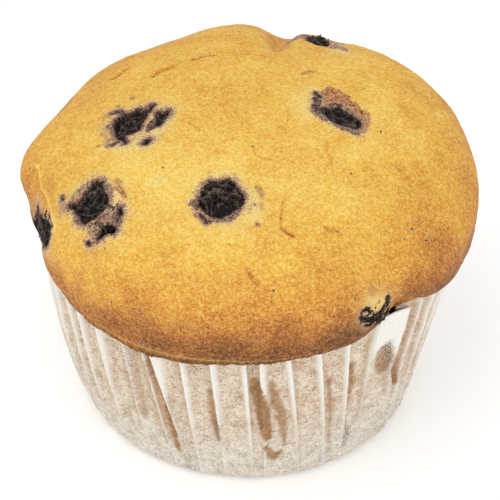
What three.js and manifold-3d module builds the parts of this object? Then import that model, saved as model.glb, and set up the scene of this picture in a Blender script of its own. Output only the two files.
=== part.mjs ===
// A blueberry muffin in its own pleated paper case.
//
// Millimetres, +Z up. The case stands on z = 0 with its axis on the Z axis. An azimuth is an angle
// in degrees round that axis, from +X towards +Y, so the front of the muffin is at -90.
//
// The muffin is nine pieces: the crumb (the domed crown and the stem that fills the case), the
// paper case, and seven berries, each in its own pocket in the crown.

import * as THREE from "three";
import { mergeVertices } from "three/addons/utils/BufferGeometryUtils.js";
import Module from "manifold-3d";

const wasm = await Module();
wasm.setup();

// Driving dimensions of the paper case
const CASE_HEIGHT = 34;
const FOOT_RADIUS = 25.2;
const FOOT_HEIGHT = 1.6;
const FOOT_ROUNDING = 1.4;
const WALL_FLARE = 0.225;
const SHEET = 0.4;
const PLEAT_DEPTH_FOOT = 0.15;
const PLEAT_DEPTH_TOP = 1.2;
const PLEAT_TWIST = 3.5;
const PLEAT_PITCH = 8;
const RIDGE_HALF_SHARE = 0.16;
const VALLEY_START_SHARE = 0.36;
const FRONT_RIDGES = [-149, -143, -136, -127, -119, -113, -107, -100, -91, -86, -79, -70, -62.5, -55.5];
const WALL_LEAN = { azimuth: 130, inwards: 0.9 };
const WALL_BULGE = { azimuth: 180, outwards: 1.1 };

// The one deep fold of the case: a panel that stands out from the ridge at its left to a sharp edge
const FOLD_EDGE = -44;
const FOLD_REACH = 0.9;
const FOLD_FOOT = 10;
const FOLD_FULL = 18;
const FOLD_COLUMNS = [
  { azimuth: -53, reach: 0.2 },
  { azimuth: -48.5, reach: 0.6 },
  { azimuth: FOLD_EDGE, reach: 1, turned: true },
  { azimuth: -43, valley: 1, turned: true },
  { azimuth: -39, valley: 1 },
  { azimuth: -37 },
];

// Driving dimensions of the crumb
const RIM_RADIUS = 33.65;
const RIM_RADIUS_WAVES = [
  { waves: 1, size: 0.66, peak: -41 },
  { waves: 3, size: 0.23, peak: -39 },
];
const RIM_HEIGHT = 38.1;
const RIM_HEIGHT_WAVES = [
  { waves: 1, size: 0.5, peak: -57 },
  { waves: 2, size: 0.8, peak: 59 },
];
const DOME_HEIGHT = 13.4;
const DOME_FULLNESS = 2.06;
const LIP_HEIGHT = 33;
const LIP_HEIGHT_WAVES = [
  { waves: 1, size: 0.83, peak: 139 },
  { waves: 2, size: 2.14, peak: -11 },
  { waves: 3, size: 1.21, peak: 47 },
];
const LIP_LIFT = { azimuth: -47, width: 7, up: 3.7 };
const LIP_RADIUS = 33.4;
const LIP_THICKNESS = 0.55;
const GAP = 0.3;
const GROOVE_HEADROOM = 0.35;

// Lobes, dents and the overlapping folds of the crown. Each pushes the crust away from the heart
// of the muffin by `out` mm; its spread is in degrees, as seen from the heart.
const HEART_HEIGHT = 30;
const LOBES = [
  { name: "groove beside the edge berry", azimuth: 201, rise: 18, out: -1, across: 5, along: 14 },
  { name: "foot of that groove", azimuth: 190, rise: 14, out: -0.85, across: 5, along: 14 },
  { name: "left lobe", azimuth: 175, rise: 14, out: 1.5, across: 10, along: 14 },
  { name: "back peak", azimuth: 97, rise: 34, out: 1, across: 10, along: 14 },
  { name: "notch behind the peak", azimuth: 80, rise: 32, out: -3.1, across: 5, along: 12 },
  { name: "saddle by the back berry", azimuth: 66, rise: 32, out: -1.2, across: 6, along: 12 },
  { name: "back left lobe", azimuth: 135, rise: 22, out: 1.1, across: 14, along: 12 },
  { name: "back right lobe", azimuth: 30, rise: 20, out: 0.8, across: 14, along: 14 },
];

// Berries: where each sits on the crown, how far its middle lies under the crust, the half length
// and half width of its girth, and the azimuth that its long axis points to
const BERRIES = [
  { name: "berry_centre", azimuth: 255.5, latitude: 57, depth: 1.2, half: [3.5, 3.3], turn: 90 },
  { name: "berry_left", azimuth: 215, latitude: 36.2, depth: 1.2, half: [4.6, 4.1], turn: 62 },
  { name: "berry_upper_left", azimuth: 181, latitude: 61, depth: 1.3, half: [4.7, 2.7], turn: 34 },
  { name: "berry_right", azimuth: 4.8, latitude: 68.5, depth: 1.3, half: [4.9, 2.7], turn: -50 },
  { name: "berry_back", azimuth: 64, latitude: 37, depth: 0.3, half: [4.3, 3.6], turn: 160 },
  { name: "berry_side", azimuth: 199, latitude: 1, depth: 0.9, half: [3.2, 2.6], turn: 90 },
  { name: "berry_rim", azimuth: -57.5, latitude: 2, depth: 1, half: [3, 2.3], turn: 10 },
];
const BERRY_CROWN = 1.3;
const BERRY_BELLY = 2.9;
const BERRY_WRINKLE = 0.05;
const BERRY_FOLDS = 5;
const BERRY_FINE_FOLDS = 9;
const BERRY_DETAIL = 3;
const POCKET_MOUTH = 5;

// How finely the crumb is divided
const CRUMB_COLUMNS = 96;
const DOME_LATITUDES = [85, 79, 72, 65, 58, 51, 44, 37, 30, 23, 16, 8, 0];
const SIDE_LATITUDES = [-12, -25, -40, -56, -73, -90];
const STEM_HEIGHTS = [26, 14, 2.2];

const radians = THREE.MathUtils.degToRad;

function waves(list, azimuth) {
  return list.reduce((sum, w) => sum + w.size * Math.cos(w.waves * radians(azimuth - w.peak)), 0);
}

// The angle from one azimuth to another, from -180 to 180
function turnBetween(from, to) {
  return THREE.MathUtils.euclideanModulo(to - from + 180, 360) - 180;
}

function hump(offset, width) {
  return Math.exp(-((offset / width) ** 2));
}

function at(azimuth, radius, z) {
  return new THREE.Vector3(radius * Math.cos(radians(azimuth)), radius * Math.sin(radians(azimuth)), z);
}

// Joins rings of points into one closed skin, with a pole at each end. The rings run from the
// first pole to the last, and all hold the same number of points, anticlockwise seen from +Z.
function skin(firstPole, rings, lastPole, outwards) {
  const columns = rings[0].length;
  const points = [firstPole, ...rings.flat(), lastPole];
  const corner = (ring, column) => 1 + ring * columns + (column % columns);
  const faces = [];
  for (let column = 0; column < columns; column += 1) {
    faces.push([0, corner(0, column), corner(0, column + 1)]);
    for (let ring = 0; ring < rings.length - 1; ring += 1) {
      const a = corner(ring, column);
      const b = corner(ring, column + 1);
      const c = corner(ring + 1, column + 1);
      const d = corner(ring + 1, column);
      faces.push([a, d, c], [a, c, b]);
    }
    const last = rings.length - 1;
    faces.push([points.length - 1, corner(last, column + 1), corner(last, column)]);
  }
  const geometry = new THREE.BufferGeometry();
  geometry.setAttribute("position", new THREE.Float32BufferAttribute(points.flatMap((p) => p.toArray()), 3));
  geometry.setIndex(outwards ? faces.flat() : faces.flatMap(([a, b, c]) => [a, c, b]));
  return geometry;
}

// The paper case
function wallRadius(azimuth, z) {
  const level = z / CASE_HEIGHT;
  const straight = FOOT_RADIUS + WALL_FLARE * (z - FOOT_HEIGHT);
  const facing = Math.max(0, Math.cos(radians(azimuth - WALL_LEAN.azimuth)));
  const lean = -WALL_LEAN.inwards * level * facing ** 2;
  const side = (1 + Math.cos(radians(azimuth - WALL_BULGE.azimuth))) / 2;
  return straight + lean + WALL_BULGE.outwards * Math.sin(Math.PI * level) * side ** 2;
}

function pleatDepth(z) {
  return THREE.MathUtils.lerp(PLEAT_DEPTH_FOOT, PLEAT_DEPTH_TOP, z / CASE_HEIGHT);
}

// Every ridge of the case: the uneven ones of the front, then evenly spaced ones round the back
function ridgeAzimuths() {
  const lastColumn = FOLD_COLUMNS[FOLD_COLUMNS.length - 1];
  const backStart = lastColumn.azimuth;
  const backSpan = FRONT_RIDGES[0] + 360 - backStart;
  const backCount = Math.round(backSpan / PLEAT_PITCH);
  const back = Array.from({ length: backCount }, (_, i) => backStart + (i * backSpan) / backCount);
  return { front: FRONT_RIDGES, back };
}

// A pleat has four columns: the two edges of its narrow ridge and the two edges of its flat valley
function pleatColumns(ridge, next) {
  const gap = next - ridge;
  return [
    { azimuth: ridge + RIDGE_HALF_SHARE * gap },
    { azimuth: ridge + VALLEY_START_SHARE * gap, valley: 1 },
    { azimuth: next - VALLEY_START_SHARE * gap, valley: 1 },
    { azimuth: next - RIDGE_HALF_SHARE * gap },
  ];
}

function caseColumns() {
  const { front, back } = ridgeAzimuths();
  const columns = [];
  front.slice(0, -1).forEach((ridge, i) => columns.push(...pleatColumns(ridge, front[i + 1])));
  columns.push(...FOLD_COLUMNS);
  back.forEach((ridge, i) => columns.push(...pleatColumns(ridge, back[i + 1] ?? front[0] + 360)));
  return columns;
}

// A point of the sheet's outer face, or of its inner face, which lies one sheet further in. Where
// the deep fold turns back, the inner face also steps sideways so that the sheet keeps a thickness.
function casePoint(column, z, inset) {
  const foldShare = THREE.MathUtils.clamp((z - FOLD_FOOT) / (FOLD_FULL - FOLD_FOOT), 0, 1);
  const twist = PLEAT_TWIST * (1 - z / CASE_HEIGHT);
  const out = (column.reach ?? 0) * FOLD_REACH * foldShare - (column.valley ?? 0) * pleatDepth(z);
  const radius = wallRadius(column.azimuth + twist, z) + out - inset;
  const sideStep = column.turned ? -THREE.MathUtils.radToDeg(inset / radius) : 0;
  return at(column.azimuth + twist + sideStep, radius, z);
}

function caseGeometry() {
  const columns = caseColumns();
  const ring = (z, inset) => columns.map((column) => casePoint(column, z, inset));
  const foot = (radius, z) => columns.map((column) => at(column.azimuth + PLEAT_TWIST, radius, z));
  const outside = [
    foot(FOOT_RADIUS - FOOT_ROUNDING, 0),
    foot(FOOT_RADIUS - 0.3 * FOOT_ROUNDING, 0.3 * FOOT_HEIGHT),
    ring(FOOT_HEIGHT, 0),
    ring(FOLD_FOOT, 0),
    ring(FOLD_FULL, 0),
    ring(CASE_HEIGHT, 0),
  ];
  const inside = [
    ring(CASE_HEIGHT, SHEET),
    ring(FOLD_FULL, SHEET),
    ring(FOLD_FOOT, SHEET),
    ring(FOOT_HEIGHT, SHEET),
    foot(FOOT_RADIUS - FOOT_ROUNDING, SHEET),
  ];
  const bottom = new THREE.Vector3(0, 0, 0);
  const floor = new THREE.Vector3(0, 0, SHEET);
  return skin(bottom, [...outside, ...inside], floor, false);
}

// The crumb
function lipHeight(azimuth) {
  const lift = LIP_LIFT.up * hump(turnBetween(LIP_LIFT.azimuth, azimuth), LIP_LIFT.width);
  return LIP_HEIGHT + waves(LIP_HEIGHT_WAVES, azimuth) + lift;
}

function lipRadius(azimuth) {
  return LIP_RADIUS + wallRadius(azimuth, CASE_HEIGHT) - wallRadius(-90, CASE_HEIGHT);
}

// Moves a point of the crown outwards or inwards by the lobes round it
function withLobes(point, share) {
  const heart = new THREE.Vector3(0, 0, HEART_HEIGHT);
  const direction = point.clone().sub(heart).normalize();
  const azimuth = THREE.MathUtils.radToDeg(Math.atan2(direction.y, direction.x));
  const rise = THREE.MathUtils.radToDeg(Math.asin(direction.z));
  const push = LOBES.reduce((sum, lobe) => {
    const sideways = turnBetween(lobe.azimuth, azimuth) * Math.cos(radians(rise));
    return sum + lobe.out * hump(sideways, lobe.across) * hump(rise - lobe.rise, lobe.along);
  }, 0);
  return point.clone().addScaledVector(direction, push * share);
}

// A point of the crust: latitude 90 is the top of the dome, 0 its widest ring and -90 the lip
function crownPoint(azimuth, latitude) {
  const rim = RIM_RADIUS + waves(RIM_RADIUS_WAVES, azimuth);
  const rimRise = waves(RIM_HEIGHT_WAVES, azimuth);
  const cosine = Math.cos(radians(latitude));
  const sine = Math.sin(radians(latitude));
  if (latitude >= 0) {
    const spread = Math.max(cosine, 0) ** (2 / DOME_FULLNESS);
    const height = RIM_HEIGHT + rimRise * spread ** 2 + DOME_HEIGHT * sine ** (2 / DOME_FULLNESS);
    return withLobes(at(azimuth, rim * spread, height), 1);
  }
  const lip = lipRadius(azimuth);
  const rimHeight = RIM_HEIGHT + rimRise;
  const height = rimHeight + (rimHeight - lipHeight(azimuth)) * sine;
  return withLobes(at(azimuth, lip + (rim - lip) * cosine, height), 1 - sine ** 2);
}

function stemRadius(azimuth, z) {
  return wallRadius(azimuth, z) - pleatDepth(z) - SHEET - GAP;
}

// The crown hangs over the edge of the case: a groove in its underside takes the paper's top edge
function crumbGeometry() {
  const azimuths = Array.from({ length: CRUMB_COLUMNS }, (_, i) => (i * 360) / CRUMB_COLUMNS);
  const ring = (point) => azimuths.map(point);
  const ceiling = (azimuth) => Math.max(CASE_HEIGHT + GROOVE_HEADROOM, lipHeight(azimuth) + GAP);
  const rings = [...DOME_LATITUDES, ...SIDE_LATITUDES].map((latitude) => ring((a) => crownPoint(a, latitude)));
  rings.push(ring((a) => at(a, lipRadius(a) - LIP_THICKNESS, lipHeight(a))));
  rings.push(ring((a) => at(a, lipRadius(a) - LIP_THICKNESS, ceiling(a))));
  rings.push(ring((a) => at(a, stemRadius(a, CASE_HEIGHT), ceiling(a))));
  STEM_HEIGHTS.forEach((z) => rings.push(ring((a) => at(a, stemRadius(a, z), z))));
  const underside = SHEET + GAP;
  rings.push(ring((a) => at(a, stemRadius(a, FOOT_HEIGHT) - FOOT_ROUNDING, underside)));
  const top = crownPoint(0, 90);
  return skin(top, rings, new THREE.Vector3(0, 0, underside), true);
}

// The berries
function mergedSphere() {
  const sphere = new THREE.IcosahedronGeometry(1, BERRY_DETAIL);
  sphere.deleteAttribute("normal");
  sphere.deleteAttribute("uv");
  return mergeVertices(sphere);
}

// A shrunken berry, or with a clearance and a mouth the pocket round it, which opens to the crust
function berryGeometry(berry, index, clearance, crownHeight) {
  const geometry = mergedSphere();
  const position = geometry.attributes.position;
  const radii = berry.half.map((half) => half + clearance);
  const point = new THREE.Vector3();
  for (let i = 0; i < position.count; i += 1) {
    point.fromBufferAttribute(position, i);
    const around = Math.atan2(point.y, point.x);
    const folds = Math.sin(BERRY_FOLDS * around + index);
    const wrinkle = 0.6 * folds + 0.4 * Math.sin(BERRY_FINE_FOLDS * around + BERRY_FOLDS * point.z - index);
    const girth = 1 + BERRY_WRINKLE * wrinkle * (1 - point.z ** 2);
    const height = point.z > 0 ? crownHeight : BERRY_BELLY + clearance;
    position.setXYZ(i, point.x * radii[0] * girth, point.y * radii[1] * girth, point.z * height);
  }
  return geometry;
}

// The berry's place: its own +Z leaves the crust at right angles, and its long axis is turned
function berryPlacement(berry) {
  const step = 1;
  const middle = crownPoint(berry.azimuth, berry.latitude);
  const east = crownPoint(berry.azimuth + step, berry.latitude).sub(crownPoint(berry.azimuth - step, berry.latitude));
  const north = crownPoint(berry.azimuth, berry.latitude + step).sub(crownPoint(berry.azimuth, berry.latitude - step));
  const outwards = east.cross(north).normalize();
  const along = at(berry.turn, 1, 0).projectOnPlane(outwards).normalize();
  const across = outwards.clone().cross(along);
  const place = new THREE.Matrix4().makeBasis(along, across, outwards);
  return place.setPosition(middle.addScaledVector(outwards, -berry.depth));
}

// Solids that are joined or cut
function toSolid(geometry) {
  const vertProperties = new Float32Array(geometry.attributes.position.array);
  const triVerts = new Uint32Array(geometry.index.array);
  return new wasm.Manifold(new wasm.Mesh({ numProp: 3, vertProperties, triVerts }));
}

function toGeometry(solid) {
  const mesh = solid.getMesh();
  const geometry = new THREE.BufferGeometry();
  geometry.setAttribute("position", new THREE.BufferAttribute(mesh.vertProperties, 3));
  geometry.setIndex(new THREE.BufferAttribute(mesh.triVerts, 1));
  return geometry;
}

function crumbWithPockets() {
  let solid = toSolid(crumbGeometry());
  BERRIES.forEach((berry, index) => {
    const pocket = berryGeometry(berry, index, GAP, POCKET_MOUTH);
    pocket.applyMatrix4(berryPlacement(berry));
    solid = solid.subtract(toSolid(pocket));
  });
  return toGeometry(solid);
}

const crust = new THREE.MeshStandardMaterial({ color: 0xe0a557, roughness: 0.75, metalness: 0 });
const paper = new THREE.MeshStandardMaterial({ color: 0xdccfbd, roughness: 0.85, metalness: 0 });
const berrySkin = new THREE.MeshStandardMaterial({ color: 0x3c3236, roughness: 0.55, metalness: 0 });

function piece(name, geometry, material) {
  geometry.computeVertexNormals();
  const mesh = new THREE.Mesh(geometry, material);
  mesh.name = name;
  return mesh;
}

const muffin = new THREE.Group();
muffin.add(piece("paper_case", caseGeometry(), paper));
muffin.add(piece("crumb", crumbWithPockets(), crust));
BERRIES.forEach((berry, index) => {
  const mesh = piece(berry.name, berryGeometry(berry, index, 0, BERRY_CROWN), berrySkin.clone());
  mesh.applyMatrix4(berryPlacement(berry));
  muffin.add(mesh);
});

export default muffin;
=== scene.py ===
# %% [markdown]
# # A blueberry muffin in its paper case
# A muffin looks simple, but it is three quite different things: a browned crust that domes over
# the case, thin baking paper in pleats, and berries that have shrunk in their pockets. This
# lesson builds each of them as a real mesh over the measured frame, and gives each a procedural
# material. All shapes are worked out in millimetres and turned into metres as they become meshes.

# %% Load the frame
import math

import bmesh
import bpy
import numpy as np
from mathutils import Matrix, Vector, noise


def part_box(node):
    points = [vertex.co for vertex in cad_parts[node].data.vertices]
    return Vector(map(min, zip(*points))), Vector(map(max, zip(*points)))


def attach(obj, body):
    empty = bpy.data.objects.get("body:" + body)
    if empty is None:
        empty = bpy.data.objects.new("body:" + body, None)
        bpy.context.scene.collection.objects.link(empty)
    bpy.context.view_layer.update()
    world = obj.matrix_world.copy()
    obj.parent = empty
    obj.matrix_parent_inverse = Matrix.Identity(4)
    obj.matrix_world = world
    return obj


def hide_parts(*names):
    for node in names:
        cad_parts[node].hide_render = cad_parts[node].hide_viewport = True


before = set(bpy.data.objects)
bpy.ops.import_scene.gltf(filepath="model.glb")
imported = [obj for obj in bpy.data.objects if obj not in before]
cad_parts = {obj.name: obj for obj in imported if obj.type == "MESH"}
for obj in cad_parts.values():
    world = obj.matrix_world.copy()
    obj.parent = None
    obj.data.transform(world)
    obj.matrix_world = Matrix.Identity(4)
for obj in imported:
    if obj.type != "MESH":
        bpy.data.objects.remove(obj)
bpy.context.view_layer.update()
MM = 0.001
case_low, case_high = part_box("paper_case")
CASE_HEIGHT = (case_high.z - case_low.z) / MM
print("case height", round(CASE_HEIGHT, 2), "mm; CAD nodes:", len(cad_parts))

# %% [markdown]
# ## Small helpers
# An azimuth is an angle in degrees round the case's axis, with the front of the muffin at -90.
# The shapes are functions of such angles, evaluated on whole numpy arrays at once, which is both
# faster and easier to read than moving one vertex after the other.

# %% Helpers for shapes
def hump(offset, width):
    """A smooth bell: 1 at offset 0, and nearly 0 beyond twice the width."""
    return np.exp(-((offset / width) ** 2))


def step(low, high, value):
    """A smooth change from 0 at low to 1 at high."""
    t = np.clip((value - low) / (high - low), 0, 1)
    return t * t * (3 - 2 * t)


def turn_between(start, end):
    """The angle from one azimuth to another, from -180 to 180."""
    return (end - start + 180) % 360 - 180


def waves(azimuth, *terms):
    """Sum of cosine waves round the muffin; each term is (waves in a turn, size, azimuth of a peak)."""
    return sum(size * np.cos(count * np.radians(azimuth - peak)) for count, size, peak in terms)


def humps(azimuth, table):
    """Sum of bells round the muffin; each is (azimuth, size, spread in degrees)."""
    return sum(size * hump(turn_between(middle, azimuth), spread) for middle, size, spread in table)


def at(azimuth, radius, z):
    """Points from azimuth, radius and height."""
    azimuth, radius, z = np.broadcast_arrays(azimuth, radius, z)
    angle = np.radians(azimuth)
    return np.stack([radius * np.cos(angle), radius * np.sin(angle), z], axis=-1)


def wobble(points, size, octaves=1, seed=0.0):
    """Smooth noise from -1 to 1 at each point, with features of the given size in mm."""
    shift = Vector((seed, 2.3 * seed, -1.7 * seed))
    flat = points.reshape(-1, 3) / size
    if octaves == 1:
        values = [noise.noise(Vector(p) + shift) for p in flat]
    else:
        values = [noise.fractal(Vector(p) + shift, 1.0, 2.0, octaves) for p in flat]
    return np.array(values).reshape(points.shape[:-1])


def grid_normals(points):
    """Unit normals of a grid of points whose columns close on themselves."""
    around = np.roll(points, -1, axis=1) - np.roll(points, 1, axis=1)
    down = np.gradient(points, axis=0)
    normals = np.cross(down, around)
    return normals / np.maximum(np.linalg.norm(normals, axis=-1, keepdims=True), 1e-9)


def closed_skin(name, rings, first_pole, last_pole):
    """One closed mesh from rings of points (in mm), with a pole at each end, faces pointing out."""
    count, columns = rings.shape[:2]
    points = np.vstack([[first_pole], rings.reshape(-1, 3), [last_pole]]) * MM
    index = 1 + np.arange(count * columns).reshape(count, columns)
    beside = np.roll(index, -1, axis=1)
    quads = np.stack([index[:-1], index[1:], beside[1:], beside[:-1]], axis=-1).reshape(-1, 4)
    last = len(points) - 1
    fans = [(0, a, b) for a, b in zip(index[0], beside[0])]
    fans += [(last, b, a) for a, b in zip(index[-1], beside[-1])]
    mesh = bpy.data.meshes.new(name)
    mesh.from_pydata(points.tolist(), [], quads.tolist() + [tuple(map(int, f)) for f in fans])
    turned_out(mesh)
    mesh.shade_smooth()
    piece = bpy.data.objects.new(name, mesh)
    bpy.context.scene.collection.objects.link(piece)
    return piece


def turned_out(mesh):
    """Makes all faces of a closed mesh point outwards."""
    work = bmesh.new()
    work.from_mesh(mesh)
    bmesh.ops.recalc_face_normals(work, faces=work.faces)
    work.to_mesh(mesh)
    work.free()


def paint(piece, name, values):
    """Stores one number for each vertex, which the piece's material reads by its name."""
    layer = piece.data.attributes.new(name, "FLOAT", "POINT")
    layer.data.foreach_set("value", np.asarray(values, dtype=np.float32).ravel())

# %% [markdown]
# ## The crown's form
# The crown could be sculpted by hand, but a formula keeps it in step with the solid frame: a
# superellipse dome above the widest ring, a quarter ellipse below it down to the lip, slow waves
# in radius and height round the muffin, and a few lobes and dents that push the crust away from
# the muffin's heart. Latitude 90 is the top, 0 the widest ring and -90 the lip.

# %% Form of the case's wall and of the crown
# All in mm; the flare is mm of radius for each mm of height
FOOT_RADIUS = 25.2
FOOT_HEIGHT = 1.6
WALL_FLARE = 0.225
BACK_LEAN = -0.9
LEFT_BULGE = 1.5
FRONT_FLARE = 0.35
LIP_HEIGHT = 33
LIP_RADIUS = 33.4
WIDEST_RADIUS = 33.65
WIDEST_HEIGHT = 38.1
DOME_RISE = 13.4
# The dome's superellipse: 1 would be a true ellipse
FULLNESS = 2 / 2.06
# Waves round the muffin: how many in a turn, size in mm, azimuth of a peak
LIP_WAVES = [(1, 0.83, 139), (2, 2.14, -11), (3, 1.21, 47)]
RIM_RADIUS_WAVES = [(1, 0.66, -41), (3, 0.23, -39)]
RIM_HEIGHT_WAVES = [(1, 0.5, -57), (2, 0.8, 59)]
# Places where the lip is lifted or drawn in: azimuth, mm, spread in degrees
LIP_LIFTS = [(-48.5, 4.1, 7), (-37.5, 0.9, 6), (-58, 0.4, 4), (-94, 0.3, 8)]
LIP_NOTCHES = [(-49, 1.4, 6), (198, 0.8, 5)]


def wall_radius(azimuth, z):
    """Radius of the pleats' ridges, with the lean at the back, the bulge at the left and a flare."""
    level = z / CASE_HEIGHT
    straight = FOOT_RADIUS + WALL_FLARE * (z - FOOT_HEIGHT)
    lean = BACK_LEAN * level * np.maximum(0, np.cos(np.radians(azimuth - 130))) ** 2
    side = (1 + np.cos(np.radians(azimuth - 180))) / 2
    bulge = LEFT_BULGE * np.sin(np.pi * np.clip(level, 0, 1) ** 0.7) * side**2
    flare = FRONT_FLARE * step(0.7, 1, level) * hump(turn_between(-20, azimuth), 14)
    return straight + lean + bulge + flare


def lip_height(azimuth):
    """Height of the crown's lower edge, lifted where the deep fold of the case stands out."""
    return LIP_HEIGHT + waves(azimuth, *LIP_WAVES) + humps(azimuth, LIP_LIFTS)


def lip_radius(azimuth):
    """Radius of the crown's lower edge, which follows the case and has two notches."""
    beyond_front = wall_radius(azimuth, CASE_HEIGHT) - wall_radius(-90, CASE_HEIGHT)
    return LIP_RADIUS - humps(azimuth, LIP_NOTCHES) + beyond_front


# Lobes and dents, seen from the heart: azimuth, rise, how far out (mm), spread across and along;
# all but the third are degrees. A separate script fitted most of the third, and the waves above,
# to the outline in the photo.
LOBES = [
    (201, 18, -1.0, 5, 14),
    (190, 14, -0.85, 5, 14),
    (175, 14, 1.5, 10, 14),
    (97, 34, 1.0, 10, 14),
    (80, 32, -3.5, 5, 12),
    (66, 32, -1.2, 6, 12),
    (135, 22, 0.8, 14, 12),
    (30, 20, 0.45, 14, 14),
    (-49, 11, -1.3, 5, 7),
]
HEART = np.array([0, 0, 30.0])
print("lobes and dents:", len(LOBES))


def with_lobes(points, share):
    """Pushes points away from the heart of the muffin by the lobes round them."""
    away = points - HEART
    away /= np.linalg.norm(away, axis=-1, keepdims=True)
    azimuth = np.degrees(np.arctan2(away[..., 1], away[..., 0]))
    rise = np.degrees(np.arcsin(away[..., 2]))
    push = 0
    for lobe, height, out, across, along in LOBES:
        sideways = turn_between(lobe, azimuth) * np.cos(np.radians(rise))
        push = push + out * hump(sideways, across) * hump(rise - height, along)
    return points + away * (push * share)[..., None]


def crown(azimuth, latitude):
    """Points of the smooth crust."""
    azimuth, latitude = np.broadcast_arrays(np.asarray(azimuth, float), np.asarray(latitude, float))
    rim = WIDEST_RADIUS + waves(azimuth, *RIM_RADIUS_WAVES)
    rim_rise = waves(azimuth, *RIM_HEIGHT_WAVES)
    cosine = np.maximum(np.cos(np.radians(latitude)), 0)
    sine = np.sin(np.radians(latitude))
    spread = cosine**FULLNESS
    dome_z = WIDEST_HEIGHT + rim_rise * spread**2 + DOME_RISE * np.maximum(sine, 0) ** FULLNESS
    lip = lip_radius(azimuth)
    rim_z = WIDEST_HEIGHT + rim_rise
    side_z = rim_z + (rim_z - lip_height(azimuth)) * sine
    upper = latitude >= 0
    radius = np.where(upper, rim * spread, lip + (rim - lip) * cosine)
    share = np.where(upper, 1, cosine**2)
    return with_lobes(at(azimuth, radius, np.where(upper, dome_z, side_z)), share)

# %% [markdown]
# ## The berries' places
# Each berry sits in a pocket of the crown. A pocket has its own small frame: one axis along the
# berry, one across it and one straight out of the crust. The crust and the berry both use this
# frame, so the berry always fits its pocket.

# %% Pockets
def outline(*corners):
    """A closed outline: a function that gives the distance to it in mm, negative inside."""
    corners = np.array(corners, float)

    def distance(a, b):
        point = np.stack([a, b], axis=-1)
        nearest = np.full(a.shape, np.inf)
        inside = np.zeros(a.shape, bool)
        for start, end in zip(corners, np.roll(corners, -1, axis=0)):
            edge = end - start
            along = np.clip((point - start) @ edge / edge.dot(edge), 0, 1)
            nearest = np.minimum(nearest, np.linalg.norm(point - start - along[..., None] * edge, axis=-1))
            crosses = (start[1] > b) != (end[1] > b)
            with np.errstate(divide="ignore", invalid="ignore"):
                meets = start[0] + (b - start[1]) * edge[0] / edge[1]
            inside ^= crosses & (a < meets)
        return np.where(inside, -nearest, nearest)

    return distance


def stroke(*stops):
    """A line with a changing half width: stops are (a, b, half width)."""
    stops = np.array(stops, float)

    def distance(a, b):
        point = np.stack([a, b], axis=-1)
        nearest = np.full(a.shape, np.inf)
        for start, end in zip(stops[:-1], stops[1:]):
            edge = end[:2] - start[:2]
            # A stroke may end where it starts, as a dot
            along = np.clip((point - start[:2]) @ edge / max(edge.dot(edge), 1e-6), 0, 1)
            away = np.linalg.norm(point - start[:2] - along[..., None] * edge, axis=-1)
            nearest = np.minimum(nearest, away - start[2] - along * (end[2] - start[2]))
        return nearest

    return distance


# A point this many mm above or below a pocket's frame belongs to another part of the crust
SAME_SIDE = 4
FAR_AWAY = 99


class Pocket:
    """A place for a berry: its frame on the crust, the berry's half sizes and the openings.

    The turn is the azimuth that the first axis points to, the middle is where the berry's own
    middle lies in the frame, and the soak is how far (mm) juice has crept into the crust.
    """

    def __init__(self, name, azimuth, latitude, depth, half, turn, middle, openings, soak=0.8):
        self.name, self.depth, self.half, self.centre = name, depth, half, middle
        self.openings, self.soak = openings, soak
        east = crown(azimuth + 1, latitude) - crown(azimuth - 1, latitude)
        north = crown(azimuth, latitude + 1) - crown(azimuth, latitude - 1)
        self.out = np.cross(east, north)
        self.out /= np.linalg.norm(self.out)
        pointing = at(turn, 1, 0)
        self.along = pointing - self.out * pointing.dot(self.out)
        self.along /= np.linalg.norm(self.along)
        self.across = np.cross(self.out, self.along)
        self.middle = crown(azimuth, latitude)

    def local(self, points):
        """Coordinates along and across in mm from the middle, and out of the crust."""
        away = points - self.middle
        return away @ self.along, away @ self.across, away @ self.out

    def distance(self, points):
        """Distance in mm to the edge of the openings along the crust, negative inside them."""
        a, b, c = self.local(points)
        nearest = np.minimum.reduce([opening(a, b) for opening in self.openings])
        return np.where(np.abs(c) < SAME_SIDE, nearest, FAR_AWAY)


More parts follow.
